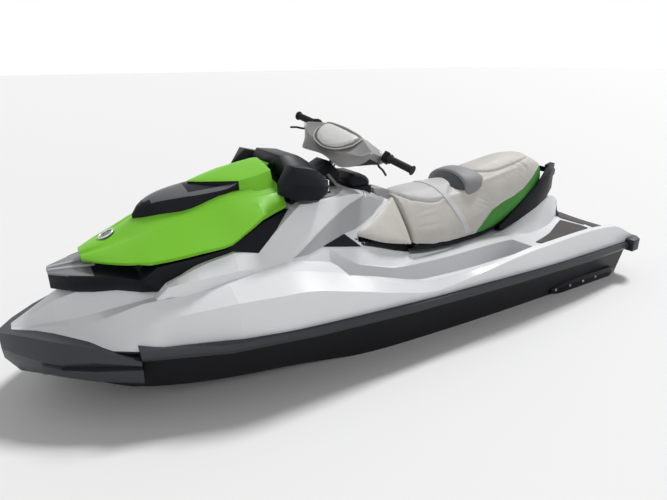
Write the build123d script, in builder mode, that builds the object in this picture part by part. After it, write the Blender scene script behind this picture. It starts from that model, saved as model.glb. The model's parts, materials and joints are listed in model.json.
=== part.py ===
from build123d import *
import os
from math import sin, cos, radians, tan

# Three-seat personal watercraft afloat: moulded hull and deck, jet pump, lift-off seat, raked steering.
# Millimetres. +X to the bow, +Y to port, +Z up, origin mid-length on the waterline.

os.makedirs("parts", exist_ok=True)

# Overall
half_length = 1685
hull_stern = 95 - half_length
hull_bow = half_length - 45
gap = 6                    # clearance round every moving cover
flat_enough = 0.01
upright = (Align.CENTER, Align.CENTER, Align.MIN)
hanging = (Align.CENTER, Align.CENTER, Align.MAX)
skin = 14                  # moulding thickness of liners and covers

# Bond line between hull and deck: one plane that rises towards the bow
bond_stern_z = 195
bond_rise = 0.030


def bond_z(x):
    return bond_stern_z + bond_rise * (x + half_length)


# Footwells
floor_z = 100
well_front = 430
well_rear = -780
well_in = 300
well_out = 500

# Jet pump
pump_z = -35
pump_bore = 156
pump_case = 190
pump_front = -1120
bay_front = -1080
bay_half = 165
bay_top = 165
nozzle_pivot_x = -1490
nozzle_rest = 17.6
bucket_x = -1395
bucket_in = 225
bucket_out = 233
bucket_half = 122
bucket_low = 26
bucket_high = 57
bucket_pin_r = 16
nozzle_pin_r = 11
wide_pin_play = 0.08

# Steering column: raked, and turned to port as it lies
column_rake = 43
steer_rest = 22
column_x = 215
column_z = 790

# Hinges: a pin through a knuckle between two ears
hood_hinge_x = 560
hood_hinge_z = 830
hood_pin_r = 5
hood_knuckle_r = 9
hood_knuckle_half = 50
lid_hinge_x = 30
lid_hinge_z = 692
lid_pin_r = 3.5
lid_knuckle_r = 7
lid_knuckle_half = 40
pin_play = 0.05
ear_thick = 8
ear_play = 1


def hinge_ears(x, z, knuckle_half, ear_r, pin_r, root):
    """Two ears and the pin between them, with a web from each ear to the root points (x, z)."""
    with BuildPart() as ears:
        inner = knuckle_half + ear_play
        for side in (1, -1):
            with BuildSketch(Plane.XZ.offset(-side * (inner + ear_thick / 2))):
                with Locations((x, z)):
                    Circle(ear_r)
                with BuildLine():
                    Polyline((x, z + ear_r), *root, (x, z - ear_r), close=True)
                make_face()
            extrude(amount=ear_thick / 2, both=True)
        with BuildSketch(Plane.XZ):
            with Locations((x, z)):
                Circle(pin_r)
        extrude(amount=inner + ear_thick / 2, both=True)
    return ears.part


def half_to_full(points):
    """Close a half outline, given from below upwards, by its mirror image."""
    mirrored = [(-y, z) for y, z in reversed(points) if abs(y) > 0.01]
    return list(points) + mirrored


def panel(corners, centre):
    """Flat faces over four corners: one where they lie in a plane, else two that fold outwards."""
    near = Face(Wire.make_polygon(corners[:3]))
    if abs((corners[3] - corners[0]).dot(near.normal_at())) < flat_enough:
        return [Face(Wire.make_polygon(corners))]
    first = (corners[0] + corners[2]) * 0.5 - centre
    second = (corners[1] + corners[3]) * 0.5 - centre
    fold = 0 if first.length > second.length else 1
    turned = corners[fold:] + corners[:fold]
    return [Face(Wire.make_polygon([turned[0], turned[1], turned[2]])),
            Face(Wire.make_polygon([turned[0], turned[2], turned[3]]))]


def panelled(rings):
    """Solid with flat panels through closed rings of points."""
    faces = [Face(Wire.make_polygon(rings[0])), Face(Wire.make_polygon(rings[-1]))]
    for ring, following in zip(rings, rings[1:]):
        centre = sum(ring + following, Vector()) / (2 * len(ring))
        for k, corner in enumerate(ring):
            after = (k + 1) % len(ring)
            faces += panel([corner, ring[after], following[after], following[k]], centre)
    return Solid(Shell(faces))


def ruled(table, outline):
    """Solid with flat panels through the stations of a table, whose first column is x."""
    return panelled([[Vector(row[0], y, z) for y, z in outline(*row)] for row in sorted(table)])


def round_body(stations, sides=24):
    """Many-sided body along the pump's axis through a table of x and radius."""
    turns = [radians(360 / sides * k) for k in range(sides)]
    return ruled(stations, lambda x, r: [(r * cos(turn), pump_z + r * sin(turn)) for turn in turns])


def save(part, name):
    part.label = name
    export_step(part, f"parts/{name}.step")


# Hull stations: x, keel z, strake y, strake z, chine y, chine z, rail y
HULL = [
    (hull_stern, -150, 230, -98, 440, -45, 492),
    (-1150, -155, 235, -98, 452, -42, 530),
    (-500, -155, 235, -95, 458, -35, 555),
    (150, -150, 230, -85, 448, -18, 562),
    (600, -130, 205, -60, 405, 25, 545),
    (950, -85, 180, -20, 372, 52, 505),
    (1250, -8, 150, 44, 308, 84, 405),
    (hull_bow - 190, 66, 90, 96, 190, 126, 255),
    (hull_bow, 146, 16, 150, 34, 158, 50),
]


def hull_outline(x, keel, strake_y, strake_z, chine_y, chine_z, rail_y):
    top = bond_z(x)
    return half_to_full([(0, keel), (strake_y, strake_z), (chine_y, chine_z), (rail_y, top)])


# Deck stations: x, rail y, ridge y, ridge z, gunwale y, gunwale z, inner y, inner z, centre z
DECK = [
    (hull_stern - 45, 490, 492, 246, 470, 248, 380, 250, 262),
    (-1350, 512, 520, 352, 492, 356, 462, 292, 318),
    (-1050, 535, 540, 368, 512, 372, 480, 300, 320),
    (-680, 552, 566, 362, 535, 368, 505, 326, 330),
    (-250, 558, 572, 318, 545, 330, 515, 316, 322),
    (0, 562, 575, 296, 545, 330, 512, 322, 328),
    (220, 560, 576, 338, 540, 372, 500, 376, 384),
    (450, 555, 570, 398, 470, 440, 380, 450, 456),
    (680, 545, 558, 442, 430, 480, 330, 500, 510),
    (900, 515, 508, 446, 420, 482, 300, 500, 520),
    (1200, 425, 390, 350, 310, 408, 225, 462, 495),
    (hull_bow - 190, 255, 232, 322, 170, 352, 90, 415, 448),
    (hull_bow, 50, 42, 312, 30, 316, 16, 320, 324),
]


def deck_outline(x, rail_y, ridge_y, ridge_z, gun_y, gun_z, in_y, in_z, mid_z):
    base = bond_z(x)
    return half_to_full([(rail_y, base), (ridge_y, ridge_z), (gun_y, gun_z),
                         (in_y, in_z), (0, mid_z)])


# Console ahead of the rider: x, foot y, foot z, waist y, waist z, shoulder y, shoulder z, top y, top z
CONSOLE = [
    (1110, 336, 440, 340, 482, 322, 486, 120, 488),
    (990, 372, 440, 378, 502, 345, 540, 120, 544),
    (850, 384, 440, 384, 506, 345, 568, 120, 574),
    (748, 380, 440, 378, 498, 338, 545, 120, 560),
    (640, 372, 430, 368, 486, 300, 620, 120, 640),
    (520, 360, 410, 352, 478, 262, 694, 140, 706),
    (450, 350, 400, 335, 470, 252, 688, 150, 712),
    (250, 330, 350, 290, 430, 208, 688, 140, 700),
    (60, 300, 320, 238, 400, 128, 636, 86, 654),
    (-108, 285, 300, 216, 350, 84, 566, 50, 582),
]


def console_outline(x, foot_y, foot_z, waist_y, waist_z, shoulder_y, shoulder_z, top_y, top_z):
    return half_to_full([(foot_y, foot_z), (waist_y, waist_z),
                         (shoulder_y, shoulder_z), (top_y, top_z)])


# Seat pedestal and rear tail: x, foot y, top y, top z
PEDESTAL = [
    (330, 318, 240, 440),
    (-250, 300, 232, 322),
    (-600, 300, 222, 314),
    (-800, 395, 205, 334),
    (-1080, 300, 180, 412),
    (-1280, 200, 140, 462),
    (-1430, 110, 85, 400),
]


def pedestal_outline(x, foot_y, top_y, top_z):
    return half_to_full([(foot_y, bond_z(x)), (top_y, top_z)])


hull_raw = ruled(HULL, hull_outline)
deck_raw = ruled(DECK, deck_outline)
console_raw = ruled(CONSOLE, console_outline)
pedestal_raw = ruled(PEDESTAL, pedestal_outline)

# Footwell trough: the tray let down between hull and deck, on each side
well_rim_z = 264


def well_outline(x, inner, outer, floor, rim):
    lean = (outer - inner) * 0.42
    return [(inner, floor), (outer - lean, floor), (outer, rim), (inner, rim)]


with BuildPart() as well_outer:
    add(ruled([(well_rear, well_in, well_out, floor_z - skin, well_rim_z),
               (well_front, well_in, well_out, floor_z - skin, well_rim_z)], well_outline))
    mirror(about=Plane.XZ)
with BuildPart() as well_inner:
    add(ruled([(well_rear + skin, well_in + skin, well_out - skin, floor_z, well_rim_z),
               (well_front - skin, well_in + skin, well_out - skin, floor_z, well_rim_z)], well_outline))
    add(ruled([(well_rear + skin, well_in + skin, well_out - skin, well_rim_z, 700),
               (well_front - skin, well_in + skin, well_out - skin, well_rim_z, 700)],
              lambda x, a, b, c, d: [(a, c), (b, c), (b, d), (a, d)]))
    mirror(about=Plane.XZ)

# Engine bay, open under the seat
bay_x0 = -760
bay_x1 = 120
engine_bay_half = 175
bay_mouth_half = 150
bay_floor = -70
bay_roof = 230
bay_mouth_z = 200
bay_mouth_high = 320
below_all = -400
behind_all = 900
with BuildPart() as engine_bay:
    with Locations(((bay_x0 + bay_x1) / 2, 0, bay_floor)):
        Box(bay_x1 - bay_x0, 2 * engine_bay_half, bay_roof - bay_floor, align=upright)
    with Locations(((bay_x0 + bay_x1) / 2, 0, bay_mouth_z)):
        Box(bay_x1 - bay_x0, 2 * bay_mouth_half, bay_mouth_high, align=upright)

with BuildPart() as pump_bay:
    with Locations((bay_front, 0, below_all)):
        Box(behind_all, 2 * bay_half, bay_top - below_all, align=(Align.MAX, Align.CENTER, Align.MIN))

# Water duct from the intake in the bottom up to the pump
duct_rear = -1140
duct_mouth_rear = -1060
duct_mouth_front = -695
duct_low = -260
duct_lip_z = -130
duct_roof_x = -1000
duct_half = 75
with BuildPart() as duct:
    with BuildSketch(Plane.XZ):
        with BuildLine():
            Polyline((duct_rear, pump_z + pump_bore / 2), (duct_rear, pump_z - pump_bore / 2),
                     (duct_mouth_rear, duct_low), (duct_mouth_front, duct_low),
                     (duct_mouth_front, duct_lip_z), (duct_roof_x, pump_z + pump_bore / 2), close=True)
        make_face()
    extrude(amount=duct_half, both=True)

shaft_tube_r = 21
shaft_tube_long = 360
with BuildPart() as hull:
    add(hull_raw)
    add(well_outer.part, mode=Mode.SUBTRACT)
    add(engine_bay.part, mode=Mode.SUBTRACT)
    add(pump_bay.part, mode=Mode.SUBTRACT)
    add(duct.part, mode=Mode.SUBTRACT)
    with BuildSketch(Plane.YZ.offset(bay_front - 20)):
        with Locations((0, pump_z)):
            Circle(shaft_tube_r)
    extrude(amount=shaft_tube_long, mode=Mode.SUBTRACT)
save(hull.part, "hull")

# Storage tub under the hood
tub_front = 1180
tub_rear = 700
tub_half = 190
tub_floor = 330
with BuildPart() as tub_space:
    with Locations(((tub_front + tub_rear) / 2, 0, tub_floor)):
        Box(tub_front - tub_rear, 2 * tub_half, 400, align=upright)

# Padded panels on the console's sides, in line with the rider's seat: x, low y, low z, high y, high z
PADS = [
    (228, 268, 474, 262, 504),
    (60, 264, 430, 176, 556),
    (-114, 251, 388, 112, 592),
]
pad_depth = 30


def side_pad_outline(x, low_y, low_z, high_y, high_z):
    bulge_y = (low_y + high_y) / 2 + 8
    bulge_z = (low_z + high_z) / 2 + 4
    return [(low_y - pad_depth, low_z), (low_y, low_z), (bulge_y, bulge_z), (high_y, high_z),
            (high_y - pad_depth, high_z - 10)]


with BuildPart() as side_pads:
    add(ruled(PADS, side_pad_outline))
    mirror(about=Plane.XZ)

# Glove box between steering and seat, with its lid
box_front = 166
box_rear = 40
box_half = 90
box_split_z = 690
box_top = 752
box_floor = 560
with BuildPart() as box_room:
    with Locations(((box_front + box_rear) / 2, 0, box_floor)):
        Box(box_front - box_rear, 2 * box_half, 400, align=upright)

with BuildPart() as deck:
    add(deck_raw)
    add(console_raw)
    add(pedestal_raw)
    add(well_outer.part)
    for room in (well_inner, engine_bay, tub_space, side_pads, box_room):
        add(room.part, mode=Mode.SUBTRACT)
save(deck.part, "deck")
save(side_pads.part, "side_pads")


# Bumper rail round the bond line: x, hull side y
RAIL_STATIONS = [(row[0], row[6]) for row in HULL if row[0] <= 1250]
rail_proud = 34
rail_down = 26
rail_up = 20


def rail_outline(x, side_y):
    base = bond_z(x)
    return [(side_y - 40, base - rail_down), (side_y + rail_proud - 10, base - rail_down + 4),
            (side_y + rail_proud, base - 4), (side_y + rail_proud - 8, base + rail_up - 4),
            (side_y - 25, base + rail_up)]


with BuildPart() as bumper_rail:
    add(ruled(RAIL_STATIONS, rail_outline))
    mirror(about=Plane.XZ)
    add(hull_raw, mode=Mode.SUBTRACT)
    add(deck_raw, mode=Mode.SUBTRACT)
save(bumper_rail.part, "bumper_rail")

# Bow bumper: x, under y, under z, cheek y, cheek z, brow y, brow z
BOW = [
    (1252, 350, 150, 446, 222, 436, 264),
    (hull_bow - 240, 248, 146, 350, 238, 318, 308),
    (hull_bow - 80, 118, 140, 222, 252, 172, 318),
    (hull_bow, 44, 142, 110, 250, 78, 316),
    (half_length, 10, 196, 34, 250, 18, 306),
]


def bow_outline(x, under_y, under_z, cheek_y, cheek_z, brow_y, brow_z):
    return half_to_full([(under_y, under_z), (cheek_y, cheek_z), (brow_y, brow_z)])


with BuildPart() as bow_bumper:
    add(ruled(BOW, bow_outline))
    add(hull_raw, mode=Mode.SUBTRACT)
    add(deck_raw, mode=Mode.SUBTRACT)
save(bow_bumper.part, "bow_bumper")

# Stern corner bumpers
block_high = 70
block_drop = 32
with BuildPart() as stern_bumpers:
    for side in (1, -1):
        with BuildSketch(Plane.XY.offset(bond_z(hull_stern) - block_drop)):
            with BuildLine():
                Polyline((hull_stern, side * 380), (hull_stern - 78, side * 400),
                         (hull_stern - 78, side * 500), (hull_stern - 40, side * 545), (hull_stern + 30, side * 552),
                         (hull_stern + 30, side * 480), (hull_stern, side * 480), close=True)
            make_face()
        extrude(amount=block_high)
    for body in (hull_raw, deck_raw, bumper_rail.part):
        add(body, mode=Mode.SUBTRACT)
save(stern_bumpers.part, "stern_bumpers")

# Sponsons: keels bolted low on the hull sides
SPONSON = [
    (hull_stern + 45, 455, 20, 42),
    (hull_stern + 110, 478, -20, 60),
    (-1050, 485, -14, 66),
    (-930, 478, 10, 52),
]


def sponson_outline(x, out_y, low_z, high_z):
    return [(400, low_z), (out_y, low_z), (out_y + 16, high_z - 20), (out_y, high_z), (400, high_z)]


with BuildPart() as sponsons:
    add(ruled(SPONSON, sponson_outline))
    mirror(about=Plane.XZ)
    add(hull_raw, mode=Mode.SUBTRACT)
save(sponsons.part, "sponsons")

# Ride plate under the pump bay
plate_top = -140
plate_thick = 10
with BuildPart() as ride_plate:
    with Locations(((hull_stern + bay_front) / 2, 0, plate_top)):
        Box(bay_front - hull_stern, 2 * bay_half - 2, plate_thick, align=hanging)
    with GridLocations(0, 60, 1, 5):
        with Locations(((hull_stern + bay_front) / 2, 0, plate_top - plate_thick)):
            Box(bay_front - hull_stern - 60, 8, 8, align=hanging)
save(ride_plate.part, "ride_plate")

# Intake grate: bars along the flow under the duct
grate_front = -712
grate_rear = -1050
grate_z = -142
bar_size = 12
with BuildPart() as intake_grate:
    with Locations(((grate_front + grate_rear) / 2, 0, grate_z)):
        with GridLocations(0, 36, 1, 4):
            Box(grate_front - grate_rear, bar_size, bar_size)
    with Locations((grate_front, 0, grate_z), (grate_rear, 0, grate_z)):
        Box(24, 150, bar_size)
save(intake_grate.part, "intake_grate")

# Jet pump: case, stator vanes and venturi on one axis
pump_rear = -1330
pump_shoulder = 15
venturi_end = -1470
venturi_waist = (pump_rear + venturi_end) / 2 - 5
waist_r = 50
outlet_r = 44
case_wall = 7
stator_r = 30
stator_long = 70
vane_thick = 6
vane_count = 5
CASE = [
    (pump_front, pump_case / 2),
    (pump_rear, pump_case / 2),
    (pump_rear - pump_shoulder, pump_case / 2 - case_wall),
    (venturi_waist, waist_r + case_wall),
    (venturi_end, outlet_r + case_wall),
]
WATERWAY = [
    (bay_front, pump_bore / 2),
    (pump_rear, pump_bore / 2),
    (venturi_waist, waist_r),
    (venturi_end, outlet_r),
]
bucket_pin_from = 55
arm_reach = 90
arm_thick = 8
arm_wide = 30
arm_root = -1380
arm_long = 125
with BuildPart() as pump_housing:
    add(round_body(CASE))
    with Locations(((pump_front + bay_front) / 2, 0, (bay_top + plate_top) / 2)):
        Box(bay_front - pump_front, 2 * bay_half - 2, bay_top - plate_top)
    add(round_body(WATERWAY), mode=Mode.SUBTRACT)
    for side in (1, -1):
        with BuildSketch(Plane.XZ.offset(-side * bucket_pin_from)):
            with Locations((bucket_x, pump_z)):
                Circle(bucket_pin_r)
        extrude(amount=-side * (bucket_half + 8 - bucket_pin_from))
    add(round_body([(pump_rear, stator_r), (pump_rear + stator_long, stator_r)], 12))
    for turn in range(vane_count):
        with Locations(Location((pump_rear + stator_long / 2, 0, pump_z), (turn * 360 / vane_count, 0, 0))):
            Box(stator_long - 10, vane_thick, pump_bore / 2 + 3, align=upright)
    for side in (1, -1):
        with Locations((arm_root, 0, pump_z + side * arm_reach)):
            Box(arm_long, arm_wide, arm_thick, align=(Align.MAX, Align.CENTER, Align.CENTER))
        with Locations((arm_root, 0, pump_z + side * (arm_reach - 15))):
            Box(14, arm_wide, 38)
        with Locations((nozzle_pivot_x, 0, pump_z + side * arm_reach)):
            Cylinder(nozzle_pin_r + wide_pin_play, 20, mode=Mode.SUBTRACT)
save(pump_housing.part, "pump_housing")

# Impeller on its shaft: x, twist of the blade about the shaft
BLADE = [(-1235, 0), (-1213, 16), (-1192, 32), (-1171, 48), (-1150, 64)]
blade_count = 4
hub_r = 29
blade_tip = 72
blade_half = 3.5


def blade_outline(x, twist):
    ahead = radians(twist)
    root = hub_r - 4
    corners = [(root, -blade_half), (blade_tip, -blade_half), (blade_tip, blade_half), (root, blade_half)]
    return [(out * cos(ahead) - side * sin(ahead), out * sin(ahead) + side * cos(ahead))
            for out, side in corners]


hub_rear = -1240
shaft_rear = -1145
shaft_front = -700
shaft_r = 14
with BuildPart() as impeller:
    with BuildSketch(Plane.YZ.offset(hub_rear)):
        Circle(hub_r)
    extrude(amount=shaft_rear - hub_rear)
    for turn in range(blade_count):
        turned = [(x, twist + turn * 360 / blade_count) for x, twist in BLADE]
        add(ruled(turned, blade_outline))
impeller_placed = impeller.part.moved(Location((0, 0, pump_z)))
save(impeller_placed, "impeller")

with BuildPart() as drive_shaft:
    with BuildSketch(Plane.YZ.offset(shaft_rear)):
        with Locations((0, pump_z)):
            Circle(shaft_r)
    extrude(amount=shaft_front - shaft_rear)
save(drive_shaft.part, "drive_shaft")

# Steering nozzle on upright pins, turned with the handlebars
nozzle_turn = Axis((nozzle_pivot_x, 0, pump_z), (0, 0, 1))
nozzle_wall = 8
nozzle_pin_long = 25
NOZZLE = [
    (nozzle_pivot_x + 15, 76),
    (nozzle_pivot_x - 10, 72),
    (nozzle_pivot_x - 110, 52),
]
with BuildPart() as nozzle_straight:
    add(round_body(NOZZLE))
    add(round_body([(x, r - nozzle_wall) for x, r in NOZZLE]), mode=Mode.SUBTRACT)
    for side in (1, -1):
        with BuildSketch(Plane.XY.offset(pump_z + side * (NOZZLE[1][1] - 3))):
            with Locations((nozzle_pivot_x, 0)):
                Circle(nozzle_pin_r)
        extrude(amount=side * nozzle_pin_long)
nozzle = nozzle_straight.part.rotate(nozzle_turn, -nozzle_rest)
save(nozzle, "steering_nozzle")

# Reverse bucket, parked above the nozzle
with BuildPart() as reverse_bucket:
    with BuildSketch(Plane.XZ):
        with BuildLine():
            outer = CenterArc((bucket_x, pump_z), bucket_out, 180 - bucket_high, bucket_high - bucket_low)
            inner = CenterArc((bucket_x, pump_z), bucket_in, 180 - bucket_high, bucket_high - bucket_low)
            Line(inner @ 0, outer @ 0)
            Line(inner @ 1, outer @ 1)
        make_face()
    extrude(amount=bucket_half + 8, both=True)
    for side in (1, -1):
        with BuildSketch(Plane.XZ.offset(-side * (bucket_half + 4))):
            with BuildLine():
                Polyline((bucket_x + 24, pump_z - 10), (bucket_x - 20, pump_z - 24),
                         (bucket_x - 202, pump_z + 100), (bucket_x - 124, pump_z + 190),
                         (bucket_x + 14, pump_z + 24), close=True)
            make_face()
            with Locations((bucket_x, pump_z)):
                Circle(bucket_pin_r + wide_pin_play, mode=Mode.SUBTRACT)
        extrude(amount=4, both=True)
save(reverse_bucket.part, "reverse_bucket")

# Engine: one block on the floor of its bay
engine_x = -300
engine_long = 560
engine_wide = 300
engine_high = 290
with BuildPart() as engine_block:
    with Locations((engine_x, 0, bay_floor)):
        Box(engine_long, engine_wide, engine_high, align=upright)
save(engine_block.part, "engine_block")


# Hood over the bow storage, a moulding with a channel along each side of its raised middle:
# x, lip y, lip z, side y, side z, edge y, edge z, channel y, channel z, foot y, foot z, centre z
HOOD = [
    (1362, 62, 545, 70, 556, 50, 566, 42, 565, 28, 573, 578),
    (1290, 150, 548, 168, 562, 92, 588, 80, 585, 50, 597, 603),
    (1240, 206, 552, 224, 568, 112, 603, 98, 600, 52, 612, 622),
    (1150, 286, 560, 302, 578, 150, 637, 136, 632, 40, 662, 668),
    (973, 322, 580, 338, 598, 187, 689, 171, 682, 116, 701, 706),
    (865, 332, 592, 346, 608, 202, 715, 186, 708, 140, 735, 745),
    (701, 290, 662, 302, 684, 216, 742, 200, 739, 168, 762, 790),
    (576, 236, 682, 248, 697, 202, 744, 190, 746, 158, 772, 805),
]
# Raised panel on the hood: x, foot y, foot z, ridge y, ridge z, centre z
CROWN = [
    (912, 10, 752, 6, 789, 792),
    (850, 68, 740, 64, 795, 810),
    (744, 152, 750, 150, 801, 837),
    (660, 182, 744, 150, 815, 853),
    (594, 178, 742, 141, 830, 861),
]
# Scoop insert ahead of the raised panel, with the same columns
SCOOP = [
    (1149, 5, 668, 4, 676, 684),
    (1118, 38, 674, 28, 712, 724),
    (973, 118, 697, 108, 752, 777),
    (909, 134, 718, 126, 759, 786),
    (850, 142, 735, 138, 765, 790),
    (748, 154, 770, 151, 792, 800),
]
web_x = 600
web_drop = 30
hinge_room_x = 590
hinge_room_half = 80
hinge_room_top = 845


def hood_outline(x, lip_y, lip_z, side_y, side_z, edge_y, edge_z,
                 channel_y, channel_z, foot_y, foot_z, mid_z):
    return half_to_full([(lip_y, lip_z), (side_y, side_z), (edge_y, edge_z), (channel_y, channel_z),
                         (foot_y, foot_z), (0, mid_z)])


def hood_hollow(x, lip_y, lip_z, side_y, side_z, edge_y, edge_z,
                channel_y, channel_z, foot_y, foot_z, mid_z):
    return half_to_full([(lip_y - skin, lip_z - 60), (side_y - skin - 6, side_z - 6),
                         (edge_y - skin, edge_z - skin), (channel_y - 8, channel_z - skin),
                         (foot_y - 4, foot_z - skin), (0, mid_z - skin - 4)])


def raised_outline(x, foot_y, foot_z, ridge_y, ridge_z, mid_z):
    return half_to_full([(foot_y, foot_z), (ridge_y, ridge_z), (0, mid_z)])


with BuildPart() as hood_raw:
    add(ruled(HOOD, hood_outline))
    add(ruled(CROWN, raised_outline))
    with Locations((hinge_room_x, 0, hinge_room_top)):
        Box(60, 2 * hinge_room_half, 60, align=(Align.MAX, Align.CENTER, Align.MAX), mode=Mode.SUBTRACT)
hood_inside = [(x + (-30 if x > 1300 else 16 if x < 600 else 0), *rest) for x, *rest in HOOD]
with BuildPart() as hood:
    add(hood_raw.part)
    add(ruled(hood_inside, hood_hollow), mode=Mode.SUBTRACT)
    with BuildSketch(Plane.XZ):
        with Locations((hood_hinge_x, hood_hinge_z)):
            Circle(hood_knuckle_r)
        with BuildLine():
            Polyline((hood_hinge_x, hood_hinge_z - hood_knuckle_r), (web_x, hood_hinge_z - web_drop),
                     (web_x, hood_hinge_z + 4), (hood_hinge_x, hood_hinge_z + hood_knuckle_r), close=True)
        make_face()
    extrude(amount=hood_knuckle_half, both=True)
    with BuildSketch(Plane.XZ):
        with Locations((hood_hinge_x, hood_hinge_z)):
            Circle(hood_pin_r + pin_play)
    extrude(amount=hood_knuckle_half, both=True, mode=Mode.SUBTRACT)
save(hood.part, "hood")

with BuildPart() as hood_scoops:
    add(ruled(SCOOP, raised_outline))
    add(hood_raw.part, mode=Mode.SUBTRACT)
save(hood_scoops.part, "hood_scoops")

# Black skirt under the hood and its lip at the bow: x, foot y, foot z, brim y, brim z
SKIRT = [
    (1484, 8, 440, 12, 508),
    (1400, 98, 440, 128, 514),
    (1270, 180, 440, 218, 518),
    (1190, 250, 440, 284, 508),
    (1130, 292, 450, 298, 552),
    (980, 340, 480, 312, 566),
    (870, 356, 490, 322, 580),
    (700, 358, 500, 284, 650),
    (560, 318, 560, 232, 674),
    (450, 256, 660, 222, 694),
]


def skirt_outline(x, foot_y, foot_z, brim_y, brim_z):
    return half_to_full([(foot_y, foot_z), (brim_y, brim_z)])


with BuildPart() as hood_skirt:
    add(ruled(SKIRT, skirt_outline))
    add(tub_space.part, mode=Mode.SUBTRACT)
    add(deck.part, mode=Mode.SUBTRACT)
save(hood_skirt.part, "hood_skirt")

# Storage tub let into the bow
tub_wall = 6
tub_rim_z = 545
with BuildPart() as storage_tub:
    with Locations(((tub_front + tub_rear) / 2, 0, tub_floor)):
        Box(tub_front - tub_rear, 2 * tub_half, tub_rim_z - tub_floor, align=upright)
    with Locations(((tub_front + tub_rear) / 2, 0, tub_floor + tub_wall)):
        Box(tub_front - tub_rear - 2 * tub_wall, 2 * (tub_half - tub_wall), tub_rim_z - tub_floor,
            align=upright, mode=Mode.SUBTRACT)
save(storage_tub.part, "storage_tub")

# Dash shroud between hood and steering: x, foot y, foot z, side y, side z, top y, top z
DASH = [
    (546, 228, 690, 218, 800, 120, 884),
    (450, 222, 700, 212, 800, 112, 872),
    (330, 200, 690, 180, 745, 90, 790),
]


def dash_outline(x, foot_y, foot_z, side_y, side_z, top_y, top_z):
    return half_to_full([(foot_y, foot_z), (side_y, side_z), (top_y, top_z)])


with BuildPart() as dash:
    add(ruled(DASH, dash_outline))
    add(hinge_ears(hood_hinge_x, hood_hinge_z, hood_knuckle_half, hood_knuckle_r, hood_pin_r,
                   [(530, hood_hinge_z + 8), (530, hood_hinge_z - 24)]))
    add(hood_skirt.part, mode=Mode.SUBTRACT)
    add(deck.part, mode=Mode.SUBTRACT)
save(dash.part, "dash")

# Mirror pods either side of the dash: x, inner y, outer y, low z, high z
POD = [
    (622, 264, 300, 752, 796),
    (560, 225, 332, 728, 864),
    (455, 200, 326, 712, 838),
    (392, 190, 288, 726, 796),
]


def pod_outline(x, in_y, out_y, low_z, high_z):
    return [(in_y, low_z), (out_y - 14, low_z), (out_y, (low_z + high_z) / 2),
            (out_y - 30, high_z), (in_y, high_z)]


with BuildPart() as mirror_pods:
    add(ruled(POD, pod_outline))
    mirror(about=Plane.XZ)
    for body in (hood_skirt.part, dash.part, deck.part):
        add(body, mode=Mode.SUBTRACT)
save(mirror_pods.part, "mirror_pods")
glass_y = 250
glass_z = 762
glass_wide = 58
glass_high = 48
glass_thick = 5
with BuildPart() as mirror_faces:
    with BuildSketch(Plane.YZ.offset(POD[-1][0])):
        with Locations((glass_y, glass_z), (-glass_y, glass_z)):
            Rectangle(glass_wide, glass_high)
    extrude(amount=-glass_thick)
save(mirror_faces.part, "mirror_faces")

# Steering: everything is drawn square to the raked column, turned to port as it lies
rake = radians(column_rake)
turn_rest = radians(steer_rest)
column_up = (-sin(rake), 0, cos(rake))
column_fwd = (cos(rake) * cos(turn_rest), sin(turn_rest), sin(rake) * cos(turn_rest))
column = Plane((column_x, 0, column_z), x_dir=column_fwd, z_dir=column_up)
column_fixed = Plane((column_x, 0, column_z), x_dir=(cos(rake), 0, sin(rake)), z_dir=column_up)


def column_from_stations(drawn):
    """Carry a body drawn with x across, y ahead and z up the column into the steering's own place."""
    across_frame = Plane((column_x, 0, column_z), x_dir=-column.y_dir, z_dir=column_up)
    return across_frame.location * drawn


# Neck that carries the stem: up the column, ahead, behind, half width
NECK = [(-150, 100, -80, 84), (-8, 58, -34, 54)]
neck_hole = 52
neck_rings = [[column_fixed.offset(up).from_local_coords((fore, side, 0))
               for fore, side in ((ahead, half), (ahead, -half), (behind, -half), (behind, half))]
              for up, ahead, behind, half in NECK]
with BuildPart() as steering_neck:
    add(panelled(neck_rings))
    with BuildSketch(column_fixed.offset(-80)):
        Rectangle(neck_hole, neck_hole)
    extrude(amount=100, mode=Mode.SUBTRACT)
    for body in (dash.part, deck.part):
        add(body, mode=Mode.SUBTRACT)
save(steering_neck.part, "steering_neck")

stem_r = 20
stem_low = -70
stem_long = 190
with BuildPart() as steering_stem:
    with BuildSketch(column.offset(stem_low)):
        Circle(stem_r)
    extrude(amount=stem_long)
save(steering_stem.part, "steering_stem")

bar_up = 156
bar_back = -8
bar_tip_back = -20
bar_half = 376
bar_bend = 150
bar_r = 11
with BuildPart() as handlebar:
    with BuildLine(column.offset(bar_up)) as bar_path:
        Polyline((bar_tip_back, -bar_half), (bar_back, -bar_bend),
                 (bar_back, bar_bend), (bar_tip_back, bar_half))
    with BuildSketch(Plane(origin=bar_path.line @ 0, z_dir=bar_path.line % 0)):
        Circle(bar_r)
    sweep(transition=Transition.RIGHT)
    add(steering_stem.part, mode=Mode.SUBTRACT)
save(handlebar.part, "handlebar")

grip_length = 136
grip_r = 17
flange_r = 23
grip_sides = 16
with BuildPart() as grips:
    for end, away in ((0, 1), (1, -1)):
        tip = bar_path.line @ end
        along = (bar_path.line % end) * away
        with BuildSketch(Plane(origin=tip - along * 6, z_dir=along)):
            RegularPolygon(grip_r, grip_sides)
            Circle(bar_r, mode=Mode.SUBTRACT)
        extrude(amount=grip_length)
        with BuildSketch(Plane(origin=tip - along * 6, z_dir=along)):
            RegularPolygon(flange_r, grip_sides)
        extrude(amount=6)
        with BuildSketch(Plane(origin=tip + along * (grip_length - 16), z_dir=along)):
            RegularPolygon(flange_r, grip_sides)
            Circle(bar_r, mode=Mode.SUBTRACT)
        extrude(amount=10)
save(grips.part, "grips")

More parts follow.
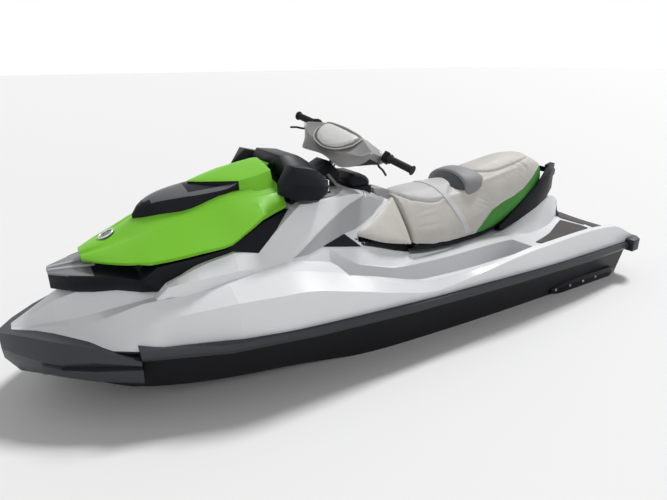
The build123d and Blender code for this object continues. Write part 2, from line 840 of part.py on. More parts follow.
# Cover over the bars, a shield drawn in the column's own frame
# Across, then ahead and up for: under rear, under front, brow, upper front, top, back top, back
COVER = [
    (-216, -30, 120, 70, 88, 95, 101, 72, 118, -20, 161, -40, 158, -42, 138),
    (-190, -30, 104, 60, 52, 96, 74, 78, 126, -15, 170, -42, 166, -44, 138),
    (-116, -14, 92, 98, -18, 112, 50, 64, 158, -15, 184, -44, 176, -46, 138),
    (-84, -12, 88, 100, -14, 120, 38, 62, 166, -15, 190, -46, 180, -46, 136),
    (0, -12, 84, 100, -2, 125, 12, 60, 174, -15, 194, -48, 184, -48, 134),
    (84, -12, 88, 100, -14, 120, 38, 62, 166, -15, 190, -46, 180, -46, 136),
    (116, -14, 92, 98, -18, 112, 50, 64, 158, -15, 184, -44, 176, -46, 138),
    (190, -30, 104, 60, 52, 96, 74, 78, 126, -15, 170, -42, 166, -44, 138),
    (216, -30, 120, 70, 88, 95, 101, 72, 118, -20, 161, -40, 158, -42, 138),
]


def cover_outline(across, *places):
    return list(zip(places[0::2], places[1::2]))


with BuildPart() as bar_cover:
    add(column_from_stations(ruled(COVER, cover_outline)))
    for body in (handlebar.part, steering_stem.part):
        add(body, mode=Mode.SUBTRACT)
save(bar_cover.part, "bar_cover")

# Glove box between steering and seat: side outline of its lid, and the walls below
box_wall = 12
with BuildPart() as glove_box:
    with Locations(((box_front + box_rear) / 2, 0, box_floor)):
        Box(box_front - box_rear, 2 * box_half, box_split_z - gap - box_floor,
            align=upright)
    with Locations(((box_front + box_rear) / 2, 0, box_floor + box_wall)):
        Box(box_front - box_rear - 2 * box_wall, 2 * (box_half - box_wall), 200,
            align=upright, mode=Mode.SUBTRACT)
    add(hinge_ears(lid_hinge_x, lid_hinge_z, lid_knuckle_half, lid_knuckle_r, lid_pin_r,
                   [(box_rear + 4, box_split_z - gap - 2), (box_rear + 4, box_split_z - 30)]))
save(glove_box.part, "glove_box")
lid_chamfer = 16
with BuildPart() as glove_lid:
    with BuildSketch(Plane.XZ):
        with BuildLine():
            Polyline((box_rear, box_split_z), (box_front, box_split_z), (box_front, box_top - 32),
                     (box_front - 20, box_top), (box_front - 66, box_top - 3), (box_rear + 22, box_top - 22),
                     (box_rear + 4, box_top - 40), close=True)
        make_face()
    extrude(amount=box_half, both=True)
    for side in (-1, 0):
        rim = glove_lid.faces().sort_by(Axis.Y)[side].edges().filter_by(lambda e: e.center().Z > box_split_z + 8)
        chamfer(rim, lid_chamfer)
    with BuildSketch(Plane.XZ):
        with Locations((lid_hinge_x, lid_hinge_z)):
            Circle(lid_knuckle_r)
            Rectangle(box_rear + 8 - lid_hinge_x, 10, align=(Align.MIN, Align.CENTER))
    extrude(amount=lid_knuckle_half, both=True)
    with BuildSketch(Plane.XZ):
        with Locations((lid_hinge_x, lid_hinge_z)):
            Circle(lid_pin_r + pin_play)
    extrude(amount=lid_knuckle_half, both=True, mode=Mode.SUBTRACT)
save(glove_lid.part, "glove_lid")

# Seat: x, low y, low z, side y, side z, shoulder y, shoulder z, centre z
RIDER_SEAT = [
    (-126, 250, 386, 236, 450, 108, 594, 606),
    (-250, 244, 362, 240, 440, 150, 590, 612),
    (-420, 232, 352, 226, 430, 160, 594, 620),
    (-560, 216, 350, 214, 430, 165, 606, 640),
]
REAR_SEAT = [
    (-562, 216, 350, 214, 430, 165, 606, 640),
    (-640, 208, 352, 206, 450, 156, 640, 668),
    (-790, 196, 376, 196, 490, 152, 664, 700),
    (-1080, 170, 452, 172, 550, 140, 704, 738),
    (-1236, 112, 520, 120, 570, 88, 650, 667),
]


def seat_outline(x, low_y, low_z, side_y, side_z, shoulder_y, shoulder_z, mid_z):
    return half_to_full([(low_y, low_z), (side_y, side_z), (shoulder_y, shoulder_z), (0, mid_z)])


base_thick = 18


def seat_base_outline(x, low_y, low_z, side_y, side_z, shoulder_y, shoulder_z, mid_z):
    return [(-low_y + 6, low_z - base_thick), (low_y - 6, low_z - base_thick), (low_y - 2, low_z),
            (-low_y + 2, low_z)]


with BuildPart() as rider_seat:
    add(ruled(RIDER_SEAT, seat_outline))
save(rider_seat.part, "rider_seat")

with BuildPart() as cushion_rear:
    add(ruled(REAR_SEAT, seat_outline))
with BuildPart() as seat_base:
    add(ruled(RIDER_SEAT + REAR_SEAT[1:], seat_base_outline))
    add(rider_seat.part, mode=Mode.SUBTRACT)
    add(cushion_rear.part, mode=Mode.SUBTRACT)
save(seat_base.part, "seat_base")

# Green sides of the passenger's seat: the lower part of the cushion, cut off by a sloping line
STRIPE = [(-560, 350), (-700, 352), (-1240, 500), (-1240, 670), (-1212, 655), (-1000, 520), (-800, 448)]
with BuildPart() as side_zone:
    with BuildSketch(Plane.XZ):
        with BuildLine():
            Polyline(*STRIPE, close=True)
        make_face()
    extrude(amount=400, both=True)
stripe_depth = 22


def cushion_core(x, low_y, low_z, side_y, side_z, shoulder_y, shoulder_z, mid_z):
    return half_to_full([(low_y - stripe_depth, low_z - 40), (side_y - stripe_depth, side_z),
                         (shoulder_y - stripe_depth, shoulder_z), (0, mid_z + 20)])


with BuildPart() as seat_core:
    core_rows = [(x + (4 if x == -562 else 20 if x < -1200 else 0), *rest) for x, *rest in REAR_SEAT]
    add(ruled(core_rows, cushion_core))
with BuildPart() as seat_side_panels:
    add(cushion_rear.part)
    add(side_zone.part, mode=Mode.INTERSECT)
    add(seat_core.part, mode=Mode.SUBTRACT)
save(seat_side_panels.part, "seat_side_panels")
with BuildPart() as passenger_seat:
    add(cushion_rear.part)
    add(seat_side_panels.part, mode=Mode.SUBTRACT)
save(passenger_seat.part, "passenger_seat")

# Lumbar bolster that rises between the two places
BOLSTER = [
    (-505, 140, 598, 100, 622, 640),
    (-575, 172, 600, 132, 664, 692),
    (-640, 176, 610, 134, 684, 708),
    (-712, 158, 640, 112, 684, 702),
]


def bolster_outline(x, foot_y, foot_z, side_y, side_z, mid_z):
    return half_to_full([(foot_y, foot_z), (side_y, side_z), (0, mid_z)])


with BuildPart() as lumbar_bolster:
    add(ruled(BOLSTER, bolster_outline))
    for body in (rider_seat.part, passenger_seat.part):
        add(body, mode=Mode.SUBTRACT)
save(lumbar_bolster.part, "lumbar_bolster")

# Grab strap across the seat, a little proud of it
strap_wide = 40
strap_low_x = -548
strap_high_x = -400
strap_proud = 4


def strap_outline(x, low_y, low_z, side_y, side_z, shoulder_y, shoulder_z, mid_z):
    out = strap_proud
    return half_to_full([(low_y + out, low_z + 2), (side_y + out, side_z),
                         (shoulder_y + out, shoulder_z + out), (0, mid_z + out)])


with BuildPart() as strap_zone:
    with BuildSketch(Plane.XZ):
        with BuildLine():
            Polyline((strap_low_x, 340), (strap_low_x + strap_wide, 340), (strap_high_x, 640),
                     (strap_high_x - strap_wide, 640), close=True)
        make_face()
    extrude(amount=300, both=True)
with BuildPart() as seat_strap:
    add(ruled(RIDER_SEAT, strap_outline))
    add(strap_zone.part, mode=Mode.INTERSECT)
    for body in (rider_seat.part, lumbar_bolster.part, seat_base.part):
        add(body, mode=Mode.SUBTRACT)
save(seat_strap.part, "seat_strap")

# Grab handle: a shell behind the passenger's seat, open to the front
# x, low y, low z, high y, high z
SHELL = [
    (-760, 236, 352, 222, 372),
    (-900, 226, 384, 206, 452),
    (-1080, 200, 430, 190, 560),
    (-1200, 172, 470, 172, 640),
    (-1290, 132, 510, 132, 664),
]


def shell_outline(x, low_y, low_z, high_y, high_z):
    return half_to_full([(low_y - 30, low_z - 10), (low_y, low_z), (high_y, high_z)])


def seat_room_outline(x, low_y, low_z, side_y, side_z, shoulder_y, shoulder_z, mid_z):
    widest = max(low_y, side_y) + gap
    return half_to_full([(widest, low_z - base_thick - gap), (widest, side_z), (widest, 760)])


room_rows = [(x - (gap + 4 if x < -1200 else 0) + (300 if x == -562 else 0), *rest) for x, *rest in REAR_SEAT]
with BuildPart() as seat_room:
    add(ruled(room_rows, seat_room_outline))
with BuildPart() as grab_handle:
    add(ruled(SHELL, shell_outline))
    with BuildSketch(Plane.XZ):
        with BuildLine():
            Polyline((-1290, 500), (-1400, 560), (-1418, 612), (-1396, 634), (-1290, 664), close=True)
        make_face()
    extrude(amount=128, both=True)
    with BuildSketch(Plane.XZ):
        with BuildLine():
            Polyline((-1296, 470), (-1376, 560), (-1388, 604), (-1380, 700),
                     (-1200, 700), (-1200, 540), close=True)
        make_face()
    extrude(amount=96, both=True, mode=Mode.SUBTRACT)
    add(seat_room.part, mode=Mode.SUBTRACT)
    add(deck.part, mode=Mode.SUBTRACT)
save(grab_handle.part, "grab_handle")

# Traction mats
mat_thick = 5
with BuildPart() as footwell_mats:
    with BuildSketch(Plane.XY.offset(floor_z)):
        with Locations(((well_front + well_rear) / 2, (well_in + well_out) / 2 - 30),
                       ((well_front + well_rear) / 2, -(well_in + well_out) / 2 + 30)):
            Rectangle(well_front - well_rear - 4 * skin, 80)
    extrude(amount=mat_thick)


def mat_skin(x, rail_y, ridge_y, ridge_z, gun_y, gun_z, in_y, in_z, mid_z):
    return half_to_full([(in_y, in_z - 30), (in_y, in_z + mat_thick), (0, mid_z + mat_thick)])


MATS = [
    [(-840, 400), (-1380, 165), (-1400, 380), (-860, 470)],
    [(-1455, 0), (-1410, 150), (-1440, 372), (hull_stern - 10, 368), (hull_stern - 10, 0)],
]
with BuildPart() as mat_zone:
    for outline in MATS:
        with BuildSketch(Plane.XY):
            with BuildLine():
                Polyline(*outline, close=True)
            make_face()
        extrude(amount=500)
    mirror(about=Plane.XZ)
with BuildPart() as traction_mats:
    add(ruled([row for row in DECK if row[0] <= -680], mat_skin))
    add(mat_zone.part, mode=Mode.INTERSECT)
    for body in (deck.part, grab_handle.part):
        add(body, mode=Mode.SUBTRACT)
    add(footwell_mats.part)
save(traction_mats.part, "traction_mats")

# Blank round badge on the hood's nose
badge_x = 1256
badge_r = 34
badge_tilt = 66
badge_proud = 4
badge_sides = 20
badge_deep = 24
nose, brow = HOOD[1], HOOD[2]
badge_z = nose[-1] + (badge_x - nose[0]) * (brow[-1] - nose[-1]) / (brow[0] - nose[0]) + badge_proud
with BuildPart() as hood_badge:
    with BuildSketch(Plane((badge_x, 0, badge_z), x_dir=(0, 1, 0),
                           z_dir=(cos(radians(badge_tilt)), 0, sin(radians(badge_tilt))))):
        RegularPolygon(badge_r, badge_sides)
    extrude(amount=-badge_deep)
    add(hood_raw.part, mode=Mode.SUBTRACT)
save(hood_badge.part, "hood_badge")

# Pale pad on the front face of the bar cover: across, low ahead, low up, high ahead, high up
PAD = [
    (-118, 78, 112, 58, 158),
    (-84, 124, 40, 60, 168),
    (0, 129, 16, 62, 174),
    (84, 124, 40, 60, 168),
    (118, 78, 112, 58, 158),
]
pad_proud = 8


def pad_outline(across, low_ahead, low_up, high_ahead, high_up):
    return [(low_ahead - 30, low_up), (low_ahead, low_up), (high_ahead + pad_proud, high_up),
            (high_ahead - 30, high_up)]


with BuildPart() as bar_pad:
    add(column_from_stations(ruled(PAD, pad_outline)))
    add(bar_cover.part, mode=Mode.SUBTRACT)
save(bar_pad.part, "bar_pad")

# Switch housings beside the grips, and the levers that hang ahead of the fingers
housing_in = 214
housing_out = 240
with BuildPart() as switch_housings:
    for side in (1, -1):
        with BuildSketch(column.offset(bar_up - 24)):
            with Locations((bar_back - 8, side * (housing_in + housing_out) / 2)):
                Rectangle(42, housing_out - housing_in)
        extrude(amount=46)
    for body in (handlebar.part, bar_cover.part):
        add(body, mode=Mode.SUBTRACT)
save(switch_housings.part, "switch_housings")

# Lever: across, ahead, up, half size
LEVER = [(218, 6, 134, 5), (232, 22, 108, 6), (252, 34, 88, 6), (286, 38, 78, 5), (318, 42, 62, 4)]


def lever_outline(across, ahead, up, half):
    return [(ahead - half, up - half), (ahead + half, up - half),
            (ahead + half, up + half), (ahead - half, up + half)]


with BuildPart() as levers_drawn:
    add(ruled(LEVER, lever_outline))
    mirror(about=Plane.YZ)
with BuildPart() as levers:
    add(column_from_stations(levers_drawn.part))
    for body in (switch_housings.part, bar_cover.part):
        add(body, mode=Mode.SUBTRACT)
save(levers.part, "levers")

# Instrument cluster on the dash's rear slope, facing the rider
gauge_proud = 8
gauge_x = 394
gauge_wide = 130
gauge_high = 76
gauge_corner = 18
dash_slope = Vector(DASH[1][0] - DASH[2][0], 0, DASH[1][6] - DASH[2][6]).normalized()
gauge_z = DASH[2][6] + (gauge_x - DASH[2][0]) * dash_slope.Z / dash_slope.X
gauge_out = Vector(-dash_slope.Z, 0, dash_slope.X)
with BuildPart() as gauge:
    with BuildSketch(Plane(Vector(gauge_x, 0, gauge_z) + gauge_out * gauge_proud,
                           x_dir=(0, 1, 0), z_dir=gauge_out)) as gauge_face:
        Rectangle(gauge_wide, gauge_high)
        chamfer(gauge_face.vertices(), gauge_corner)
    extrude(amount=-26)
    add(dash.part, mode=Mode.SUBTRACT)
save(gauge.part, "gauge")

# Pale side panels of the console, just ahead of the seat's leading edge
panel_proud = 5


def panel_skin(x, foot_y, foot_z, waist_y, waist_z, shoulder_y, shoulder_z, top_y, top_z):
    return half_to_full([(foot_y + panel_proud, foot_z), (waist_y + panel_proud, waist_z),
                         (shoulder_y + panel_proud, shoulder_z), (top_y, top_z + 2)])


# Side outline of the panels: x, z
RIBBON = [(-96, 640), (60, 690), (95, 662), (243, 629), (473, 540), (640, 474), (560, 446), (423, 470),
          (262, 512), (100, 560)]
with BuildPart() as ribbon_zone:
    with BuildSketch(Plane.XZ):
        with BuildLine():
            Polyline(*RIBBON, close=True)
        make_face()
    extrude(amount=500, both=True)
with BuildPart() as console_panels:
    add(ruled(CONSOLE, panel_skin))
    add(ribbon_zone.part, mode=Mode.INTERSECT)
    for body in (deck.part, hood_skirt.part, glove_box.part, side_pads.part, box_room.part):
        add(body, mode=Mode.SUBTRACT)
save(console_panels.part, "console_panels")

# Tow eyes, one at the bow and two at the stern
eye_r = 14
eye_wide = 22
bow_eye_x = hull_bow - 80
bow_eye_z = 92
eye_sides = 16
bow_eye_half = 5
stern_eye_y = 330
stern_eye_z = 60
stern_eye_half = 4
with BuildPart() as tow_eyes:
    with BuildSketch(Plane.XZ):
        with Locations((bow_eye_x, bow_eye_z)):
            RegularPolygon(eye_wide, eye_sides)
            Rectangle(24, 60, align=(Align.CENTER, Align.MIN))
            Circle(eye_r, mode=Mode.SUBTRACT)
    extrude(amount=bow_eye_half, both=True)
    for side in (1, -1):
        with BuildSketch(Plane.XZ.offset(-side * stern_eye_y)):
            with Locations((hull_stern - eye_wide, stern_eye_z)):
                RegularPolygon(eye_wide, eye_sides)
                Rectangle(40, 20, align=(Align.MIN, Align.CENTER))
                Circle(eye_r, mode=Mode.SUBTRACT)
        extrude(amount=stern_eye_half, both=True)
        with BuildSketch(Plane.YZ.offset(hull_stern)):
            with Locations((side * stern_eye_y, stern_eye_z)):
                Rectangle(24, 60)
        extrude(amount=-5)
    add(hull.part, mode=Mode.SUBTRACT)
save(tow_eyes.part, "tow_eyes")
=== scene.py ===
import bpy
import bmesh
import json
from math import sin, cos, radians, pi, ceil, exp
from mathutils import Vector, Matrix
from mathutils.bvhtree import BVHTree
from mathutils.kdtree import KDTree

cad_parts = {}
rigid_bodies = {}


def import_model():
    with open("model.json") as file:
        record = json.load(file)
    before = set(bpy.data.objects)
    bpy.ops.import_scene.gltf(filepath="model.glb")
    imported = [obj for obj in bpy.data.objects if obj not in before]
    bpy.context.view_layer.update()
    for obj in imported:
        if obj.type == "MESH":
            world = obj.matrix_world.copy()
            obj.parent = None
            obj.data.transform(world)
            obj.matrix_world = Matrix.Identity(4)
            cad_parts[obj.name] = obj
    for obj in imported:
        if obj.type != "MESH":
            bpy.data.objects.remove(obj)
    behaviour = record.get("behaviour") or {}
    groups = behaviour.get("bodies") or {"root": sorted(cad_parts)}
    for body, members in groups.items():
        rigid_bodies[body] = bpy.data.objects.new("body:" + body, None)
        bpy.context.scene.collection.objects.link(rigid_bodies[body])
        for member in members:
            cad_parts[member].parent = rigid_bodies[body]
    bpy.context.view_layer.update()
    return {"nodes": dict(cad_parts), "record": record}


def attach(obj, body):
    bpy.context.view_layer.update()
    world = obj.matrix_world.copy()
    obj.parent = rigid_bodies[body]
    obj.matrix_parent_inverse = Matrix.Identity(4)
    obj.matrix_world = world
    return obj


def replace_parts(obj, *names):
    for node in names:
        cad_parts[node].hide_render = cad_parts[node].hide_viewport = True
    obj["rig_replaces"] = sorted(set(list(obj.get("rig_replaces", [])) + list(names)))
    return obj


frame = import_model()
nodes = frame["nodes"]
MM = 0.001

# Camera: at the height of a standing person, ahead of the port bow
focal_px = 515
picture_wide = 667
heading, tilt, roll = radians(-120.506), radians(20.299), radians(-0.4295)
eye_at = (1.464, 2.139, 1.265)
ahead = Vector((cos(heading) * cos(tilt), sin(heading) * cos(tilt), -sin(tilt)))
level = Vector((sin(heading), -cos(heading), 0))
upright = level.cross(ahead)
right = level * cos(roll) + upright * sin(roll)
up = upright * cos(roll) - level * sin(roll)
eye = bpy.data.cameras.new("eye")
eye.sensor_width = 36
eye.lens = focal_px / picture_wide * 36
eye_object = bpy.data.objects.new("eye", eye)
looking = Matrix((right, up, -ahead)).transposed().to_4x4()
eye_object.matrix_world = Matrix.Translation(eye_at) @ looking
bpy.context.collection.objects.link(eye_object)
bpy.context.scene.camera = eye_object


# Finishes


class Value:
    """A shader socket that can be written in sums."""

    def __init__(self, paint, socket):
        self.paint, self.socket = paint, socket

    def maths(self, operation, *others, flip=False):
        terms = [*others, self] if flip else [self, *others]
        return self.paint.node("Math", {"operation": operation}, *terms)

    def __add__(self, other): return self.maths("ADD", other)
    def __radd__(self, other): return self.maths("ADD", other)
    def __sub__(self, other): return self.maths("SUBTRACT", other)
    def __rsub__(self, other): return self.maths("SUBTRACT", other, flip=True)
    def __mul__(self, other): return self.maths("MULTIPLY", other)
    def __rmul__(self, other): return self.maths("MULTIPLY", other)
    def sine(self): return self.maths("SINE")
    def smaller(self, other): return self.maths("MINIMUM", other)
    def larger(self, other): return self.maths("MAXIMUM", other)


class Paint:
    """A material under construction: one shader whose sockets take numbers or values."""

    def __init__(self, name, colour, roughness, metallic=0.0, **fixed):
        self.material = bpy.data.materials.new(name)
        self.material.use_nodes = True
        self.tree = self.material.node_tree
        self.shader = self.tree.nodes["Principled BSDF"]
        self.shader.inputs["Base Color"].default_value = (*colour, 1)
        self.shader.inputs["Roughness"].default_value = roughness
        self.shader.inputs["Metallic"].default_value = metallic
        for socket, value in fixed.items():
            self.shader.inputs[socket.replace("_", " ")].default_value = value
        self.where = None

    def node(self, kind, settings, *inputs, output=0, **named):
        made = self.tree.nodes.new("ShaderNode" + kind)
        for key, value in settings.items():
            setattr(made, key, value)
        for key, value in [*enumerate(inputs), *named.items()]:
            socket = made.inputs[key if isinstance(key, int) else key.replace("_", " ")]
            if isinstance(value, Value):
                self.tree.links.new(value.socket, socket)
            elif value is not None:
                socket.default_value = value
        return Value(self, made.outputs[output])

    def place(self):
        if self.where is None:
            self.where = self.node("TexCoord", {}, output="Object")
        return self.where

    def axis(self, which):
        return self.node("SeparateXYZ", {}, self.place(), output=which)

    def cloud(self, scale, detail):
        return self.node("TexNoise", {}, Vector=self.place(), Scale=scale, Detail=detail)

    def cells(self, scale, feature="F1"):
        kind = {"feature": feature}
        return self.node("TexVoronoi", kind, Vector=self.place(), Scale=scale, output="Distance")

    def shades(self, mask, low, high):
        """Colour between two colours by a mask from 0 to 1."""
        made = self.tree.nodes.new("ShaderNodeMix")
        made.data_type = "RGBA"
        self.tree.links.new(mask.socket, made.inputs["Factor"])
        for key, value in ((6, low), (7, high)):
            made.inputs[key].default_value = (*value, 1)
        return Value(self, made.outputs[2])

    def into(self, socket, value):
        self.tree.links.new(value.socket, self.shader.inputs[socket])
        return self

    def relief(self, height, strength, distance):
        bump = self.node("Bump", {}, Strength=strength, Distance=distance, Height=height)
        return self.into("Normal", bump)


def gelcoat(name, colour, roughness=0.26, dust=0.08, coat=0.25, shine=0.42):
    """Sprayed and polished moulding: faint orange peel and dull smears."""
    paint = Paint(name, colour, roughness, Coat_Weight=coat, Coat_Roughness=0.12, Specular_IOR_Level=shine)
    smear = paint.cloud(3.1, 3.0)
    fine = paint.cloud(38.0, 2.0)
    dull = tuple(c * 0.93 + 0.01 for c in colour)
    paint.into("Base Color", paint.shades(smear * 0.7 + fine * 0.3, colour, dull))
    paint.into("Roughness", roughness + smear * dust + fine * 0.05)
    paint.relief(paint.cloud(420.0, 1.0), 0.03, 0.0004)
    return paint.material


def moulded(name, colour, roughness=0.5, grain=900.0, depth=0.12, shine=0.2):
    """Moulded plastic with a fine even grain."""
    paint = Paint(name, colour, roughness, Specular_IOR_Level=shine)
    worn = paint.cloud(14.0, 3.0)
    pits = paint.cells(grain)
    faded = tuple(min(1, c * 1.25 + 0.003) for c in colour)
    paint.into("Base Color", paint.shades(worn, colour, faded))
    paint.into("Roughness", roughness - 0.08 + worn * 0.16)
    paint.relief(pits, depth, 0.0005)
    return paint.material


def vinyl(name, colour, shade, roughness=0.46):
    """Marine vinyl: leather grain under a cloudy film of grime."""
    paint = Paint(name, colour, roughness, Specular_IOR_Level=0.4)
    grime = paint.cloud(5.0, 5.0)
    patch = paint.cloud(21.0, 3.0)
    creases = paint.cells(420.0, "DISTANCE_TO_EDGE")
    mask = (grime * 1.6 - 0.45).larger(0.0).smaller(1.0) * 0.55 + patch * 0.3
    paint.into("Base Color", paint.shades(mask, colour, shade))
    paint.into("Roughness", roughness + patch * 0.14)
    paint.relief(creases.smaller(0.12) * 6.0 + patch * 0.6, 0.22, 0.0006)
    return paint.material


def ribbed(name, colour, pitch=0.009):
    """Traction mat: foam with ribs along the craft."""
    paint = Paint(name, colour, 0.75, Specular_IOR_Level=0.2)
    worn = paint.cloud(9.0, 4.0)
    paint.into("Base Color", paint.shades(worn, colour, tuple(c * 1.5 for c in colour)))
    ribs = (paint.axis(1) * (2 * pi / pitch)).sine()
    paint.relief(ribs, 0.8, 0.0018)
    return paint.material


def metal(name, colour, roughness):
    """Bare metal with cloudy wear."""
    paint = Paint(name, colour, roughness, metallic=1.0)
    streak = paint.cloud(40.0, 3.0)
    paint.into("Roughness", roughness - 0.06 + streak * 0.16)
    paint.relief(streak, 0.08, 0.0004)
    return paint.material


finishes = {
    "gelcoat_white": gelcoat("white gelcoat", (0.82, 0.83, 0.85)),
    "hull_black": gelcoat("black gelcoat", (0.004, 0.004, 0.006), 0.34, 0.08, 0.02, 0.14),
    "hood_green": gelcoat("lime gelcoat", (0.21, 0.60, 0.03), 0.42, 0.06, 0.03, 0.2),
    "trim_black": moulded("black moulding", (0.003, 0.0035, 0.007), 0.42, shine=0.13),
    "bumper_grey": moulded("bumper rubber", (0.028, 0.032, 0.038), 0.42, 700, 0.2, shine=0.3),
    "cover_grey": moulded("grey moulding", (0.24, 0.235, 0.235), 0.42, shine=0.4),
    "vinyl_grey": vinyl("pale vinyl", (0.62, 0.60, 0.56), (0.45, 0.43, 0.39)),
    "vinyl_green": vinyl("green vinyl", (0.05, 0.27, 0.03), (0.03, 0.18, 0.02)),
    "vinyl_dark": vinyl("dark vinyl", (0.05, 0.052, 0.062), (0.03, 0.03, 0.036)),
    "strap_web": moulded("pale webbing", (0.55, 0.55, 0.56), 0.6, 1400, 0.3),
    "mat_grey": ribbed("mat foam", (0.085, 0.08, 0.078)),
    "grip_rubber": moulded("grip rubber", (0.012, 0.012, 0.013), 0.6, 800, 0.3),
    "alloy": metal("cast alloy", (0.52, 0.53, 0.55), 0.38),
    "steel": metal("stainless steel", (0.6, 0.6, 0.61), 0.22),
    "engine_alloy": metal("engine alloy", (0.32, 0.32, 0.33), 0.5),
    "mirror": metal("mirror glass", (0.85, 0.87, 0.9), 0.08),
    "gauge_glass": gelcoat("gauge lens", (0.01, 0.012, 0.015), 0.1, 0.02, 0.5, 0.5),
    "badge_metal": metal("badge chrome", (0.55, 0.57, 0.6), 0.14),
}
slots = {row["node"]: row["material_slot"] for row in frame["record"]["subparts"]}
body_of = {name: body for body, names in frame["record"]["behaviour"]["bodies"].items() for name in names}


# Making meshes


def settle(name, mesh, slot, body, *replaced, sharp=32, declare=None, finish=None):
    """Put a finished mesh in the scene as a piece of that body, with its slot's finish or its own."""
    piece = bpy.data.objects.new(name, mesh)
    bpy.context.collection.objects.link(piece)
    if not mesh.materials:
        mesh.materials.append(finish or finishes[slot])
    mesh.shade_smooth()
    mesh.set_sharp_from_angle(angle=radians(sharp))
    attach(piece, body)
    if replaced:
        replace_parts(piece, *replaced)
    return piece


def painted(piece, finish, chosen):
    """A second finish on the faces that chosen() picks."""
    piece.data.materials.append(finish)
    for face in piece.data.polygons:
        if chosen(face):
            face.material_index = 1


def mesh_from(points, faces, name="form"):
    mesh = bpy.data.meshes.new(name)
    mesh.from_pydata([tuple(p) for p in points], [], faces)
    return mesh


def baked(mesh, *modifiers):
    """The mesh after a row of modifiers, each (kind, settings)."""
    holder = bpy.data.objects.new("work", mesh)
    bpy.context.collection.objects.link(holder)
    for kind, settings in modifiers:
        step = holder.modifiers.new(kind.lower(), kind)
        for key, value in settings.items():
            setattr(step, key, value)
    seen = holder.evaluated_get(bpy.context.evaluated_depsgraph_get())
    result = bpy.data.meshes.new_from_object(seen)
    bpy.data.objects.remove(holder)
    return result


def clean(mesh, merge=0.0001, flat=None):
    """Weld points that lie together and turn every face outwards."""
    work = bmesh.new()
    work.from_mesh(mesh)
    bmesh.ops.remove_doubles(work, verts=work.verts, dist=merge)
    if flat:
        bmesh.ops.dissolve_limit(work, angle_limit=radians(flat), verts=work.verts, edges=work.edges)
    bmesh.ops.recalc_face_normals(work, faces=work.faces)
    work.to_mesh(mesh)
    work.free()
    return mesh


def cut(mesh, *others, operation="DIFFERENCE"):
    """Take the other closed meshes away from, or add them to, a closed mesh."""
    holders = [bpy.data.objects.new("cutter", other) for other in others]
    for holder in holders:
        bpy.context.collection.objects.link(holder)
    steps = [("BOOLEAN", {"operation": operation, "solver": "EXACT", "object": holder})
             for holder in holders]
    result = baked(mesh, *steps)
    for holder in holders:
        bpy.data.objects.remove(holder)
    return clean(result, 0.00002)


def rounded(mesh, width, segments=2, angle=28):
    return baked(mesh, ("BEVEL", {"width": width, "segments": segments, "limit_method": "ANGLE",
                                  "angle_limit": radians(angle), "use_clamp_overlap": True,
                                  "harden_normals": False}))


def joined(*meshes):
    points, faces = [], []
    for mesh in meshes:
        base = len(points)
        points += [v.co.copy() for v in mesh.vertices]
        faces += [[base + k for k in face.vertices] for face in mesh.polygons]
    return mesh_from(points, faces)


def cad_copy(node):
    """A CAD node's mesh, its loose triangles merged into flat faces."""
    return clean(nodes[node].data.copy(), 0.0001, 0.6)


def tree_of(mesh):
    """Search tree of a mesh's faces, to lay things on it."""
    return BVHTree.FromPolygons([v.co for v in mesh.vertices], [face.vertices for face in mesh.polygons])


def smooth_through(xs, values, at):
    """Monotone cubic through the values, so that no curve swings past its stations."""
    steps = [b - a for a, b in zip(xs, xs[1:])]
    rates = [(b - a) / h for a, b, h in zip(values, values[1:], steps)]
    slopes = [rates[0]]
    for before, after, h0, h1 in zip(rates, rates[1:], steps, steps[1:]):
        if before * after <= 0:
            slopes.append(0.0)
        else:
            w0, w1 = 2 * h1 + h0, h1 + 2 * h0
            slopes.append((w0 + w1) / (w0 / before + w1 / after))
    slopes.append(rates[-1])
    k = 0
    while k < len(steps) - 1 and at > xs[k + 1]:
        k += 1
    t = (at - xs[k]) / steps[k]
    return ((2 * t ** 3 - 3 * t ** 2 + 1) * values[k] + (t ** 3 - 2 * t ** 2 + t) * steps[k] * slopes[k]
            + (3 * t ** 2 - 2 * t ** 3) * values[k + 1] + (t ** 3 - t ** 2) * steps[k] * slopes[k + 1])


def stations(table, step, corners=()):
    """Rows between the rows of a table, in even steps of its first column, smooth but for the corners."""
    rows = sorted(table)
    breaks = [0] + [k for k, row in enumerate(rows) if row[0] in corners] + [len(rows) - 1]
    filled = []
    for start, end in zip(breaks, breaks[1:]):
        part = rows[start:end + 1]
        if end <= start:
            continue
        xs = [row[0] for row in part]
        count = max(1, ceil((xs[-1] - xs[0]) / step))
        for k in range(count + 1):
            x = xs[0] + (xs[-1] - xs[0]) * k / count
            if filled and abs(filled[-1][0] - x) < 1e-6:
                continue
            columns = [smooth_through(xs, [row[c] for row in part], x) if len(xs) > 1 else part[0][c]
                       for c in range(1, len(rows[0]))]
            filled.append((x, *columns))
    return filled


def swelled(line, bulges, parts=4):
    """A polyline whose runs are divided, and swell outwards by the given amounts."""
    out = []
    for k, (a, b) in enumerate(zip(line, line[1:])):
        bulge = bulges[k] if k < len(bulges) else 0
        count = parts if bulge else 1
        run = Vector((b[0] - a[0], b[1] - a[1]))
        side = Vector((run.y, -run.x)).normalized() if run.length > 0 else Vector((0, 0))
        for j in range(count):
            t = j / count
            offset = side * (4 * bulge * t * (1 - t))
            out.append((a[0] + run.x * t + offset.x, a[1] + run.y * t + offset.y))
    out.append(line[-1])
    return out


def bands(rings, count, closed=False):
    """Faces between rings of points, the ends capped unless the rings close on themselves."""
    faces = []
    for r in range(rings if closed else rings - 1):
        low, high = r * count, (r + 1) % rings * count
        faces += [[low + k, low + (k + 1) % count, high + (k + 1) % count, high + k] for k in range(count)]
    if not closed:
        faces += [list(range(count)), [(rings - 1) * count + k for k in range(count)]]
    return faces


